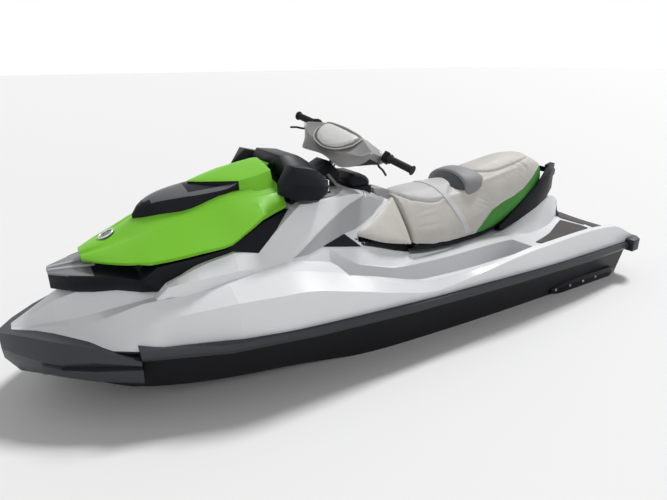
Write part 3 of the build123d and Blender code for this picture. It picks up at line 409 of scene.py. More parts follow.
def lofted(table, outline, step=40, corners=(), bulges=(), parts=4, both=True, drawn=None):
    """Closed mesh through the stations of a table; the outline gives (y, z) from below upwards."""
    rings = []
    for row in stations(table, step, corners):
        half = swelled(outline(*row), bulges, parts)
        ring = half
        if both:
            ring = half + [(-y, z) for y, z in reversed(half) if abs(y) > 0.01]
        rings.append([Vector((row[0], y, z)) * MM for y, z in ring])
    count = len(rings[0])
    points = [p for ring in rings for p in ring]
    faces = bands(len(rings), count)
    if drawn:
        points = [drawn(p) for p in points]
    return clean(mesh_from(points, faces), 0.00005)


def block(low, high):
    """A box between two corners, in mm."""
    a, b = Vector(low) * MM, Vector(high) * MM
    points = [(x, y, z) for x in (a.x, b.x) for y in (a.y, b.y) for z in (a.z, b.z)]
    faces = [(0, 1, 3, 2), (4, 6, 7, 5), (0, 4, 5, 1), (2, 3, 7, 6), (0, 2, 6, 4), (1, 5, 7, 3)]
    return clean(mesh_from(points, faces))


def prism(outline, low, high, axis="y"):
    """A flat outline in mm, carried from low to high along an axis."""
    place = {"x": lambda p, t: (t, p[0], p[1]),
             "y": lambda p, t: (p[0], t, p[1]),
             "z": lambda p, t: (p[0], p[1], t)}[axis]
    count = len(outline)
    points = [Vector(place(p, low)) * MM for p in outline] + [Vector(place(p, high)) * MM for p in outline]
    faces = [list(range(count)), list(range(2 * count - 1, count - 1, -1))]
    faces += [[k, (k + 1) % count, count + (k + 1) % count, count + k] for k in range(count)]
    return clean(mesh_from(points, faces))


def mirrored(mesh):
    """The mesh and its image across the centreline."""
    points = [v.co.copy() for v in mesh.vertices]
    faces = [list(face.vertices) for face in mesh.polygons]
    other = mesh_from([Vector((p.x, -p.y, p.z)) for p in points], [face[::-1] for face in faces])
    return joined(mesh, other)


def dressed(node, width=2.0, angle=28, sharp=32, slot=None, name=None, finish=None):
    """A CAD node's own shape with rounded edges."""
    mesh = rounded(cad_copy(node), width * MM, 2, angle)
    mesh.materials.clear()
    settle(name or node + "_shape", mesh, slot or slots[node], body_of[node], node, sharp=sharp,
           finish=finish)


# Hull and deck

half_length = 1685
hull_stern = -1590
hull_bow = 1640

# x, keel z, strake y and z, chine y and z, rail y
HULL = [
    (hull_stern, -150, 230, -98, 440, -45, 492),
    (-1150, -155, 235, -98, 452, -42, 530),
    (-500, -155, 235, -95, 458, -35, 555),
    (150, -150, 230, -85, 448, -18, 562),
    (600, -130, 205, -60, 405, 25, 545),
    (950, -85, 180, -20, 372, 52, 505),
    (1250, -8, 150, 44, 308, 84, 405),
    (1450, 66, 90, 96, 190, 126, 255),
    (hull_bow, 146, 16, 150, 34, 158, 50),
]
# x, rail y, then (y, z) of ridge, gunwale, crease and inner edge, and centre z
DECK = [
    (hull_stern - 45, 490, 492, 246, 470, 248, 425, 249, 380, 250, 262),
    (-1350, 512, 520, 352, 492, 356, 405, 316, 385, 296, 318),
    (-1050, 535, 540, 368, 512, 372, 496, 336, 480, 300, 320),
    (-680, 552, 566, 362, 535, 368, 520, 347, 505, 326, 330),
    (-250, 558, 572, 318, 545, 330, 530, 323, 515, 316, 322),
    (0, 562, 575, 296, 545, 330, 528, 326, 512, 322, 328),
    (220, 560, 576, 338, 540, 372, 520, 374, 500, 376, 384),
    (450, 555, 570, 398, 470, 440, 425, 445, 380, 450, 456),
    (680, 545, 558, 442, 438, 482, 380, 490, 330, 500, 510),
    (900, 515, 500, 430, 408, 466, 350, 478, 300, 500, 520),
    (1200, 425, 352, 366, 300, 422, 250, 414, 215, 462, 495),
    (1400, 300, 250, 312, 200, 340, 160, 362, 85, 436, 458),
    (1490, 226, 178, 312, 135, 336, 98, 336, 40, 400, 414),
    (hull_bow, 50, 42, 312, 30, 316, 24, 318, 16, 320, 324),
]
# x, then (y, z) of foot, waist, shoulder and top
CONSOLE = [
    (1152, 312, 424, 314, 432, 304, 436, 100, 438),
    (1110, 336, 440, 340, 482, 322, 486, 120, 488),
    (990, 372, 440, 378, 502, 345, 540, 120, 544),
    (850, 384, 440, 384, 506, 345, 568, 120, 574),
    (748, 380, 440, 378, 498, 338, 545, 120, 560),
    (640, 372, 430, 368, 486, 300, 620, 120, 640),
    (520, 360, 410, 352, 478, 262, 694, 140, 706),
    (450, 350, 400, 335, 470, 252, 688, 150, 712),
    (250, 330, 350, 290, 430, 208, 688, 140, 700),
    (60, 300, 320, 238, 400, 128, 636, 86, 654),
    (-108, 285, 300, 216, 350, 84, 566, 50, 582),
]
# x, foot y, top y, top z
PEDESTAL = [
    (330, 318, 240, 440),
    (-250, 300, 232, 322),
    (-600, 300, 222, 314),
    (-800, 395, 205, 334),
    (-1080, 300, 180, 412),
    (-1280, 200, 140, 462),
    (-1430, 110, 85, 400),
]
# x, then (y, z) of low edge and high edge
PADS = [
    (228, 268, 474, 262, 504),
    (60, 264, 430, 176, 556),
    (-114, 251, 388, 112, 592),
]


def bond(x):
    """Height of the seam between hull and deck."""
    return 195 + 0.030 * (x + half_length)


def hull_line(x, keel, strake_y, strake_z, chine_y, chine_z, rail_y):
    return [(0, keel), (strake_y, strake_z), (chine_y, chine_z), (rail_y, bond(x))]


def paired(x, *places):
    """The places of a station as (y, z) points."""
    return list(zip(places[0::2], places[1::2]))


def to_middle(x, *places):
    """The same, ending on the centreline at the last height."""
    return paired(x, *places[:-1]) + [(0, places[-1])]


def deck_line(x, rail_y, *rest):
    return [(rail_y, bond(x))] + to_middle(x, *rest)


def pedestal_line(x, foot_y, top_y, top_z):
    return [(foot_y, bond(x)), (top_y, top_z)]


def pad_line(x, low_y, low_z, high_y, high_z, deep=30):
    bulge = (low_y + high_y) / 2 + 8, (low_z + high_z) / 2 + 4
    return [(low_y - deep, low_z), (low_y, low_z), bulge, (high_y, high_z), (high_y - deep, high_z - 10)]


def well(inset, floor, top):
    """Footwell trough of both sides: walls that lean, then straight up to the top."""
    rear, front = -780 + inset, 430 - inset
    inner, outer = 300 + inset, 500 - inset
    lean = (outer - inner) * 0.42
    rim = 264
    outline = [(inner, floor), (outer - lean, floor), (outer, rim)]
    outline += [(outer, top), (inner, top)] if top > rim else [(inner, rim)]
    return mirrored(prism(outline, rear, front, "x"))


engine_bay = (block((-760, -175, -70), (120, 175, 230)), block((-760, -150, 200), (120, 150, 520)))
pump_bay = block((-1980, -165, -400), (-1080, 165, 165))
duct = prism([(-1140, 43), (-1140, -113), (-1060, -260), (-695, -260), (-695, -130), (-1000, 43)], -75, 75)
hull_form = lofted(HULL, hull_line, 60)
hull_mesh = cut(hull_form.copy(), well(0, 86, 264), *engine_bay, pump_bay, duct)
settle("hull_moulding", hull_mesh, "hull_black", "craft", "hull", sharp=14)

deck_form = lofted(DECK, deck_line, 45, corners=(900, 1200, 1400, 1490), bulges=(0, 0, 0, 0, -6))
console_form = lofted(CONSOLE, paired, 40, corners=(1110, 850, 748, 520))
pedestal_form = lofted(PEDESTAL, pedestal_line, 40)
tub_space = block((700, -190, 330), (1180, 190, 730))
box_space = block((40, -90, 560), (166, 90, 960))
pad_space = mirrored(lofted(PADS, pad_line, 60, both=False))
deck_mesh = cut(deck_form.copy(), console_form, pedestal_form, well(0, 86, 264), operation="UNION")
deck_mesh = cut(deck_mesh, well(14, 100, 700), *engine_bay, tub_space, box_space, pad_space)
deck_mesh = rounded(clean(deck_mesh, 0.0003), 0.002, 1, 14)
settle("deck_moulding", deck_mesh, "gelcoat_white", "craft", "deck", sharp=9)


# Hood

# x, lip, side, edge of the lower panel, groove, foot of the raised panel (y, z each), centre z
HOOD = [
    (1362, 62, 545, 70, 556, 50, 566, 42, 565, 28, 573, 578),
    (1290, 150, 548, 168, 562, 92, 588, 80, 585, 50, 597, 603),
    (1240, 206, 552, 224, 568, 112, 603, 98, 600, 52, 612, 622),
    (1150, 286, 560, 302, 578, 150, 637, 136, 632, 40, 662, 668),
    (1055, 310, 570, 326, 588, 176, 668, 160, 661, 82, 690, 694),
    (973, 322, 580, 338, 598, 187, 689, 171, 682, 116, 701, 706),
    (865, 332, 592, 346, 608, 202, 715, 186, 708, 140, 735, 745),
    (790, 316, 622, 330, 640, 211, 734, 195, 728, 150, 758, 770),
    (701, 290, 662, 302, 684, 216, 742, 200, 739, 168, 762, 790),
    (634, 256, 672, 268, 692, 210, 744, 196, 744, 166, 768, 800),
    (576, 236, 682, 248, 697, 202, 744, 190, 746, 158, 772, 805),
]


def hood_inside(x, *places):
    """The hood's section, drawn in by the wall at each point from lip to centre."""
    walls = ((12, 60), (18, 4), (12, 14), (8, 13), (4, 14), (0, 16))
    return [(y - less_y, z - less_z) for (y, z), (less_y, less_z) in zip(to_middle(x, *places), walls)]


hood_form = lofted(HOOD, to_middle, 30, corners=(1150, 701), bulges=(0, 3, 0, -3, 2))
inside_rows = [(x + (-26 if x > 1300 else 14 if x < 600 else 0), *rest) for x, *rest in HOOD]
hood_mesh = cut(hood_form, lofted(inside_rows, hood_inside, 30))
hinge_x, hinge_z = 560, 830


def circle(centre, across, other, r, sides):
    """Points round a centre, in the plane of two square directions."""
    turns = [2 * pi * k / sides for k in range(sides)]
    return [centre + (across * cos(turn) + other * sin(turn)) * r for turn in turns]


def turned(a, b, profile, sides=32, hollow=False):
    """Round solid from a towards b, in metres; the profile is (along, radius) from the first."""
    axis = (b - a).normalized()
    across = axis.orthogonal().normalized()
    other = axis.cross(across)
    points = [p for along, r in profile for p in circle(a + axis * along, across, other, r, sides)]
    return clean(mesh_from(points, bands(len(profile), sides, hollow)), 1e-6)


def rod(a, b, r, sides=24, hole=0, ends=0.0006):
    """Round rod between two points in mm, its rims rounded, with a hole if asked."""
    a, b = Vector(a) * MM, Vector(b) * MM
    far, wide = (b - a).length, r * MM
    profile = [(0, wide - ends), (ends, wide), (far - ends, wide), (far, wide - ends)]
    if hole:
        profile += [(far, hole * MM), (0, hole * MM)]
    return turned(a, b, profile, sides, hollow=bool(hole))


knuckle = rod((hinge_x, -50, hinge_z), (hinge_x, 50, hinge_z), 9, hole=5.3)
web_line = [(hinge_x + 6, hinge_z - 8), (600, hinge_z - 30), (600, hinge_z - 8), (hinge_x + 6, hinge_z + 6)]
web = prism(web_line, -48, 48)
hood_mesh = joined(rounded(hood_mesh, 0.0025, 2, 18), knuckle, web)
settle("hood_moulding", hood_mesh, "hood_green", "hood", "hood", sharp=11)

# Raised panel of the hood: x, foot y, foot z, ridge y, ridge z, centre z
CROWN = [
    (912, 10, 752, 6, 789, 792),
    (850, 68, 740, 64, 795, 810),
    (744, 152, 750, 150, 801, 837),
    (660, 182, 744, 150, 815, 853),
    (594, 178, 742, 141, 830, 861),
]
crown = lofted(CROWN, to_middle, 24, corners=(744,), bulges=(0, 3))
crown = cut(rounded(crown, 0.003, 2, 20), block((530, -80, 785), (590, 80, 845)))
crown_piece = settle("hood_crown", crown, "hood_green", "hood", sharp=24)
painted(crown_piece, finishes["trim_black"], lambda face: face.normal.z < 0.45 and face.center.x > 0.735)

# Scoop: x, foot y, foot z, brow y, brow z, centre z
SCOOP = [
    (1149, 5, 668, 4, 676, 684),
    (1118, 38, 674, 28, 712, 724),
    (1055, 82, 686, 70, 738, 757),
    (973, 118, 697, 108, 752, 777),
    (909, 134, 718, 126, 759, 786),
    (850, 142, 735, 138, 765, 790),
    (790, 152, 755, 150, 775, 792),
    (748, 154, 770, 151, 792, 800),
]


def scoop_top(face):
    """The grey top of the scoop: all but the dark mouth at its rear."""
    x, y, z = face.center
    return face.normal.z > 0.8 and z > 0.7 and (x > 0.935 or abs(y) > 0.098)


scoop = rounded(lofted(SCOOP, to_middle, 24, bulges=(0, 4)), 0.002, 2, 20)
scoop_piece = settle("hood_scoop", scoop, "trim_black", "hood", "hood_scoops", sharp=24)
painted(scoop_piece, moulded("scoop top", (0.10, 0.10, 0.105), 0.42), scoop_top)


# Soft seat


def stuffed(mesh, voxel, held, cap=0.02):
    """Blow a closed cover up like a filled cushion; the points that held() picks stay where they are."""
    even = ("REMESH", {"mode": "VOXEL", "voxel_size": voxel})
    start = baked(mesh, even, ("SMOOTH", {"iterations": 8, "factor": 0.5}))
    holder = bpy.data.objects.new("cover", start)
    bpy.context.collection.objects.link(holder)
    pinned = holder.vertex_groups.new(name="held")
    pinned.add([v.index for v in start.vertices if held(v.co / MM)], 1.0, "REPLACE")
    filling = holder.modifiers.new("filling", "CLOTH")
    filling.settings.vertex_group_mass = "held"
    filling.settings.use_pressure = True
    filling.settings.uniform_pressure_force = 4
    filling.settings.effector_weights.gravity = 0
    for step in range(1, 21):
        bpy.context.scene.frame_set(step)
    blown = bpy.data.meshes.new_from_object(holder.evaluated_get(bpy.context.evaluated_depsgraph_get()))
    for before, after in zip(start.vertices, blown.vertices):
        moved = after.co - before.co
        if moved.length > cap:
            after.co = before.co + moved * (cap / moved.length)
    bpy.data.objects.remove(holder)
    bpy.context.scene.frame_set(1)
    return baked(blown, ("SMOOTH", {"iterations": 3, "factor": 0.5}), ("SUBSURF", {"levels": 1}))


def laid_on(mesh, outline, toward=(0, 0, -1), start=900):
    """The points of a closed or open outline, found on the mesh by looking along a direction."""
    tree = tree_of(mesh)
    look = Vector(toward)
    found = []
    for p in outline:
        hit = tree.ray_cast(Vector(p) * MM - look * start * MM, look)[0]
        if hit is not None:
            found.append(hit)
    return found


def sewn(mesh, lines, depth=0.0025, width=0.004):
    """Draw the cover in along sewn lines."""
    points = []
    for line in lines:
        for a, b in zip(line, line[1:]):
            count = max(1, int((b - a).length / 0.002))
            points += [a.lerp(b, k / count) for k in range(count)]
    near = KDTree(len(points))
    for k, p in enumerate(points):
        near.insert(p, k)
    near.balance()
    moves = []
    for v in mesh.vertices:
        distance = near.find(v.co)[2]
        if distance < 4 * width:
            moves.append((v, v.normal * (-depth * exp(-(distance / width) ** 2))))
    for v, move in moves:
        v.co += move
    return mesh


def crowned(mesh, inside, height, facing=0.3):
    """Lift the part of a cover that inside() weighs from 0 to 1."""
    moves = [(v, v.normal * (height * inside(v.co / MM))) for v in mesh.vertices if v.normal.z > facing]
    for v, move in moves:
        v.co += move
    return mesh


def tube(points, r, sides=8, closed=False):
    """Round cord along points in metres."""
    count = len(points)
    rings, frame_axis = [], None
    for k, p in enumerate(points):
        before = points[(k - 1) % count] if closed or k else points[0]
        after = points[(k + 1) % count] if closed or k < count - 1 else points[-1]
        along = (after - before).normalized()
        across = along.orthogonal() if frame_axis is None else frame_axis - along * frame_axis.dot(along)
        across.normalize()
        frame_axis = across
        other = along.cross(across)
        rings += circle(p, across, other, r, sides)
    return clean(mesh_from(rings, bands(count, sides, closed)), 1e-6)


def ribbon(points, normals, wide, thick):
    """Flat band along points in metres, standing up from the surface by its thickness."""
    rows = []
    for k, (p, n) in enumerate(zip(points, normals)):
        along = (points[min(k + 1, len(points) - 1)] - points[max(k - 1, 0)]).normalized()
        side = along.cross(n).normalized() * (wide / 2)
        up_by = n * thick
        rows += [p - side, p + side, p + side * 0.94 + up_by, p - side * 0.94 + up_by]
    return clean(mesh_from(rows, bands(len(points), 4)), 1e-6)


# x, low y, low z, side y, side z, shoulder y, shoulder z, centre z
SEAT = [
    (-127, 247, 388, 214, 456, 66, 598, 607),
    (-190, 244, 376, 228, 448, 108, 594, 608),
    (-250, 241, 364, 234, 440, 140, 588, 608),
    (-420, 229, 354, 222, 430, 158, 590, 615),
    (-560, 213, 352, 210, 430, 162, 602, 633),
    (-640, 205, 354, 201, 450, 154, 634, 662),
    (-790, 193, 378, 191, 490, 150, 658, 694),
    (-940, 181, 416, 181, 522, 146, 682, 720),
    (-1050, 168, 450, 170, 548, 138, 694, 728),
    (-1130, 148, 480, 150, 566, 120, 688, 718),
    (-1190, 112, 508, 118, 580, 92, 668, 694),
    (-1228, 56, 530, 62, 590, 46, 648, 664),
]


def low_edge(rows, at):
    """Height of a cushion's underside at a place along the craft."""
    ordered = sorted(rows)
    return smooth_through([row[0] for row in ordered], [row[2] for row in ordered], at)


def near_base(rows, front, rear):
    """Picks the points along a cushion's underside and at its two ends."""
    def held(p):
        return p.z < low_edge(rows, max(rear, min(front, p.x))) + 14 or p.x > front - 8 or p.x < rear + 8
    return held


def ring(centre, half, power=2.0, count=96):
    """Rounded outline in plan: an ellipse, squarer as the power grows."""
    out = []
    for k in range(count + 1):
        c, s = cos(2 * pi * k / count), sin(2 * pi * k / count)
        out.append((centre[0] + half[0] * abs(c) ** (2 / power) * (1 if c > 0 else -1),
                    centre[1] + half[1] * abs(s) ** (2 / power) * (1 if s > 0 else -1), 0))
    return out


def plan_weight(centre, half, power=2.0, soft=0.12):
    """Weight inside a ring: 1 over most of it, fading to 0 at its edge."""
    def inside(p):
        off_x, off_y = abs(p.x - centre[0]) / half[0], abs(p.y - centre[1]) / half[1]
        reach = (off_x ** power + off_y ** power) ** (1 / power)
        t = max(0.0, min(1.0, (1 - reach) / soft))
        return t * t * (3 - 2 * t)
    return inside


insert_centre, insert_half = (-330, 0), (194, 158)
panel_centre, panel_half = (-888, 0), (252, 116)
seat_form = lofted(SEAT, to_middle, 30, bulges=(2, 10, 3))
seat_mesh = stuffed(seat_form, 0.007, near_base(SEAT, -127, -1300), 0.012)
crowned(seat_mesh, plan_weight(insert_centre, insert_half), 0.005)
crowned(seat_mesh, plan_weight(panel_centre, panel_half, 2.6, 0.1), 0.006)
sewn(seat_mesh, [laid_on(seat_mesh, ring(insert_centre, insert_half))], 0.004, 0.005)
sewn(seat_mesh, [laid_on(seat_mesh, ring(panel_centre, panel_half, 2.6))], 0.002, 0.005)

# The rider's cushion ends, and the passenger's begins, at a seam that leans with the strap
SPLIT = [(-600, 300), (-600, 340), (-528, 640), (-528, 760), (0, 760), (0, 300)]
rider_mesh = cut(seat_mesh.copy(), prism(SPLIT, -320, 320), operation="INTERSECT")
rear_mesh = cut(seat_mesh.copy(), prism(SPLIT, -320, 320))

stripe_seam = [(-592, 372), (-640, 428), (-700, 478), (-780, 508), (-880, 532), (-960, 562), (-1030, 604),
               (-1090, 640), (-1150, 662), (-1200, 668)]
STRIPE = [(-560, 330)] + stripe_seam + [(-1260, 668), (-1260, 300)]
stripe_zone = prism(STRIPE, -320, 320)
white_part = cut(rear_mesh.copy(), stripe_zone)
green_part = cut(rear_mesh.copy(), stripe_zone, operation="INTERSECT")
insert_finish = vinyl("insert vinyl", (0.56, 0.56, 0.56), (0.44, 0.44, 0.44))
rider_piece = settle("rider_cushion", rider_mesh, "vinyl_grey", "seat", "rider_seat", sharp=50, declare=0.9)
in_insert = plan_weight(insert_centre, insert_half)
painted(rider_piece, insert_finish, lambda face: face.normal.z > 0.3 and in_insert(face.center / MM) > 0)
settle("passenger_cushion", white_part, "vinyl_grey", "seat", "passenger_seat", sharp=50, declare=0.9)
settle("cushion_stripe", green_part, "vinyl_green", "seat", "seat_side_panels", sharp=50, declare=0.9)

# Piping on the stripe's upper seam, on both sides
on_side = laid_on(rear_mesh, [(x, 0, z) for x, z in stripe_seam], (0, -1, 0))
fine_seam = [a.lerp(b, t / 4) for a, b in zip(on_side, on_side[1:]) for t in range(4)] + on_side[-1:]
fine_line = [(p.x / MM, 0, p.z / MM) for p in fine_seam]
piping = joined(*[tube(laid_on(rear_mesh, fine_line, (0, side, 0)), 0.003) for side in (-1, 1)])
settle("stripe_piping", piping, "vinyl_grey", "seat", sharp=60)

# Bolster between the two places: grey rim round a dark face that leans back
# x, half width, foot z, height
RIM = [
    (-690, 130, 640, 30),
    (-650, 158, 628, 62),
    (-605, 170, 612, 82),
    (-566, 168, 602, 88),
    (-540, 160, 598, 86),
]
FACE = [
    (-580, 146, 596, 78),
    (-540, 147, 596, 76),
    (-526, 136, 598, 64),
    (-508, 120, 600, 44),
    (-490, 96, 604, 22),
]


def arch(x, half, foot, height):
    turns = [t * pi / 20 for t in range(11)]
    return [(half, foot - 30)] + [(half * cos(turn), foot + height * sin(turn)) for turn in turns]


rim_mesh = rounded(lofted(RIM, arch, 16), 0.007, 3, 40)
face_mesh = rounded(lofted(FACE, arch, 12), 0.004, 2, 40)
rim_finish = vinyl("rim vinyl", (0.26, 0.26, 0.27), (0.2, 0.2, 0.21))
settle("bolster_rim", rim_mesh, "vinyl_dark", "seat", sharp=40, declare=0.9, finish=rim_finish)
settle("bolster_face", face_mesh, "vinyl_dark", "seat", "lumbar_bolster", sharp=40, declare=0.9)

# Webbing strap over the cushion, ahead of the bolster
strap_points, strap_normals = [], []
seat_tree = tree_of(rider_mesh)
for k in range(61):
    turn = pi * (0.5 - k / 60) * 1.24
    height = 360 + 255 * max(0.0, cos(turn)) ** 0.6
    for _ in range(3):
        x = -528 + (height - 340) / 300 * 148
        look = Vector((0, sin(turn), cos(turn)))
        place, facing = seat_tree.ray_cast(Vector((x, 0, 470)) * MM + look, -look)[:2]
        if place is None:
            break
        height = place.z / MM
    if place is not None and height > 356:
        strap_points.append(place + facing * 0.0006)
        strap_normals.append(facing)
strap = ribbon(strap_points, strap_normals, 0.036, 0.0028)
strap_piece = settle("seat_webbing", strap, "strap_web", "seat", "seat_strap", sharp=40)
strap_long = sum((b - a).length for a, b in zip(strap_points, strap_points[1:]))

# Forward skirts of the seat, on the console
pad_rows = [(228, 259, 500, 253, 521), (60, 261, 433, 166, 556), (-113, 248, 391, 68, 604)]
skirt_form = lofted(pad_rows, pad_line, 30, both=False, bulges=(0, 3, 3))
skirt = stuffed(skirt_form, 0.006, lambda p: p.x > 218 or p.x < -104, 0.006)
settle("seat_skirts", mirrored(skirt), "vinyl_grey", "craft", "side_pads", sharp=50, declare=0.9)

# Bow bumper: x, then (y, z) of underside, lip, top of the lip, recess, cheek and brow
BOW = [
    (1252, 350, 150, 430, 172, 444, 234, 424, 238, 440, 250, 434, 263),
    (1400, 248, 146, 336, 176, 352, 226, 322, 232, 348, 262, 318, 306),
    (1500, 184, 142, 266, 190, 280, 226, 262, 230, 284, 252, 236, 318),
    (1560, 118, 140, 214, 196, 222, 232, 220, 240, 222, 250, 172, 320),
    (hull_bow, 44, 142, 92, 190, 104, 230, 106, 240, 110, 250, 78, 316),
    (half_length, 10, 196, 24, 226, 30, 240, 32, 246, 34, 250, 18, 306),
]

bow_form = lofted(BOW, paired, 400, corners=tuple(row[0] for row in BOW))
bow_mesh = cut(bow_form, hull_form.copy(), deck_form.copy())
settle("bow_fender", rounded(bow_mesh, 0.003, 2, 12), "bumper_grey", "craft", "bow_bumper", sharp=12)

# Badge on the hood's nose, blank: a dark face in a bright ring
badge_at = Vector((1256, 0, 620.5)) * MM
badge_out = Vector((cos(radians(66)), 0, sin(radians(66))))
badge_side = badge_out.cross(Vector((0, 1, 0)))
badge_rim = circle(badge_at, Vector((0, 1, 0)), badge_side, 0.031, 40)
settle("badge_ring", tube(badge_rim, 0.0042, 10, closed=True), "badge_metal", "hood", sharp=60)
dressed("hood_badge", 1, sharp=40, name="badge_face",
        finish=gelcoat("badge face", (0.03, 0.035, 0.05), 0.2, 0.03, 0.3, 0.5))

# Grey fairing between glove box and seat: x, half width, foot z, top half width, top z
FAIRING = [
    (12, 90, 626, 74, 662),
    (-60, 70, 596, 56, 648),
    (-112, 50, 574, 40, 630),
]
fairing = lofted(FAIRING, paired, 20, bulges=(0, 4))
settle("seat_fairing", rounded(fairing, 0.004, 3, 30), "cover_grey", "craft", sharp=35)

# Tray ahead of the hood, with two pale ribs
tray_finish = moulded("tray grey", (0.17, 0.17, 0.18), 0.4, shine=0.4)
rib_finish = moulded("pale trim", (0.42, 0.43, 0.45), 0.35, shine=0.5)
tray_line = [(1486, 8), (1482, 44), (1402, 118), (1310, 182)]
tray_line = tray_line + [(x, -y) for x, y in reversed(tray_line)]
tray = rounded(prism(tray_line, 509, 516, "z"), 0.0015, 2, 28)
settle("bow_tray", tray, "trim_black", "craft", sharp=30, finish=tray_finish)
ribs = [tube([Vector((1480, side * 16, 517)) * MM, Vector((1318, side * 46, 518)) * MM], 0.007)
        for side in (1, -1)]
settle("tray_ribs", joined(*ribs), "trim_black", "craft", sharp=60, finish=rib_finish)

# Steering: drawn square to the raked column, turned to port as it lies
column_rake, steer_rest = radians(43), radians(22)
column_at = Vector((215, 0, 790))
column_up = Vector((-sin(column_rake), 0, cos(column_rake)))
column_fwd = Vector((cos(column_rake) * cos(steer_rest), sin(steer_rest),
                     sin(column_rake) * cos(steer_rest)))
column_side = column_fwd.cross(column_up)


def on_column(p):
    """A point (across, ahead, up) in metres, in the steering's own place."""
    return column_at * MM + column_side * p.x + column_fwd * p.y + column_up * p.z


# Across, then (ahead, up) of under rear, under front, brow, upper front, top, back top, back
COVER = [
    (0, -12, 84, 100, -2, 125, 12, 60, 174, -15, 194, -48, 184, -48, 134),
    (84, -12, 88, 100, -14, 120, 38, 62, 166, -15, 190, -46, 180, -46, 136),
    (116, -14, 92, 98, -18, 112, 50, 64, 158, -15, 184, -44, 176, -46, 138),
    (190, -30, 104, 60, 52, 96, 74, 78, 126, -15, 170, -42, 166, -44, 138),
    (216, -30, 120, 70, 88, 95, 101, 72, 118, -20, 161, -40, 158, -42, 138),
]


def both_ways(rows):
    """Rows measured from the middle, with their mirror images first."""
    return [(-row[0], *row[1:]) for row in rows[:0:-1]] + list(rows)


cover = lofted(both_ways(COVER), paired, 16, bulges=(0, -6, -3, -4, -2), parts=5, both=False,
               drawn=on_column)
cover = rounded(cover, 0.003, 3, 30)
cover_piece = settle("bar_shroud", cover, "cover_grey", "steering", "bar_cover", sharp=40)


def underside(face):
    """The dark underside of the cover, behind its brow."""
    forward = (face.center - column_at * MM).dot(column_fwd)
    return face.normal.dot(column_up) < -0.6 and face.normal.dot(column_fwd) < 0.1 and forward < 0.066


painted(cover_piece, finishes["trim_black"], underside)

# Pad: across, low ahead, low up, high ahead, high up
PAD = [
    (0, 127, 18, 62, 172),
    (60, 125, 30, 61, 169),
    (92, 118, 52, 61, 165),
    (116, 96, 92, 60, 158),
]


def pad_section(grow, deep):
    """Outline of the pad: its edge drawn in by a margin, its face proud of the cover."""
    def line(across, low_ahead, low_up, high_ahead, high_up):
        slope = Vector((high_ahead - low_ahead, high_up - low_up)).normalized()
        out = Vector((slope.y, -slope.x))
        low = Vector((low_ahead, low_up)) + slope * grow
        high = Vector((high_ahead, high_up)) - slope * grow
        return [tuple(p) for p in (low - out * deep, low + out * 7, high + out * 7, high - out * deep)]
    return line


pad_base = lofted(both_ways(PAD), pad_section(0, 12), 12, bulges=(0, 4, 0), both=False, drawn=on_column)
inner_rows = [(across * 0.92, *rest) for across, *rest in both_ways(PAD)]
pad_top = lofted(inner_rows, pad_section(10, 2), 12, bulges=(0, 8, 0), both=False,
                 drawn=lambda p: on_column(p) + column_fwd * 0.003)
edge_finish = moulded("pad edge", (0.12, 0.12, 0.13), 0.45)
pad_finish = vinyl("pad vinyl", (0.74, 0.74, 0.72), (0.6, 0.6, 0.58))
settle("pad_base", rounded(pad_base, 0.003, 3, 30), "cover_grey", "steering", sharp=40, finish=edge_finish)
pad_mesh = stuffed(pad_top, 0.005, lambda p: False, 0.004)
settle("pad_cushion", pad_mesh, "vinyl_grey", "steering", "bar_pad", sharp=60, declare=0.9,
       finish=pad_finish)


def pad_rim():
    line = pad_section(2, 0)
    rows = stations(both_ways(PAD), 12)
    low = [on_column(Vector((row[0], *line(*row)[1])) * MM) for row in rows]
    high = [on_column(Vector((row[0], *line(*row)[2])) * MM) for row in rows]
    return low + high[::-1]


settle("pad_piping", tube(pad_rim(), 0.003, 8, closed=True), "vinyl_grey", "steering", sharp=60)

# Bar, grips and levers
bar_up, bar_back, tip_back, bar_half, bar_bend = 156, -8, -20, 376, 150
star_half = [(-bar_half, tip_back), (-bar_bend - 8, bar_back), (-bar_bend + 8, bar_back)]
port_half = [(bar_bend - 8, bar_back), (bar_bend + 8, bar_back), (bar_half, tip_back)]
bar_points = [on_column(Vector((across, back, bar_up)) * MM) for across, back in star_half + port_half]
settle("bar_tube", tube(bar_points, 0.0109, 24), "steel", "steering", "handlebar", sharp=60)
grip_line = [(-6, 16), (-5, 22), (-1, 23), (0, 22), (1, 17)]
grip_line += [(2 + 4 * k + step, r)
              for k in range(28) for step, r in ((0, 16), (1, 17), (2.6, 17), (3.4, 16))]
grip_line += [(116, 17), (120, 22), (124, 23), (129, 22), (130, 16)]
grip_line = [(along * MM, r * MM) for along, r in grip_line]
grip_meshes = [turned(tip, inner, grip_line, 28) for tip, inner in (bar_points[:2], bar_points[:-3:-1])]
settle("bar_grips", joined(*grip_meshes), "grip_rubber", "steering", "grips", sharp=50)
# Across, ahead, up
LEVER = [(218, 6, 134), (232, 22, 108), (252, 34, 88), (286, 38, 78), (318, 42, 62)]
lever_rows = stations(LEVER, 6)
lever_lines = [[on_column(Vector((side * across, out, rise)) * MM) for across, out, rise in lever_rows]
               for side in (1, -1)]
lever_meshes = [tube(line, 0.005, 12) for line in lever_lines]
settle("bar_levers", joined(*lever_meshes), "trim_black", "steering", "levers", sharp=60)


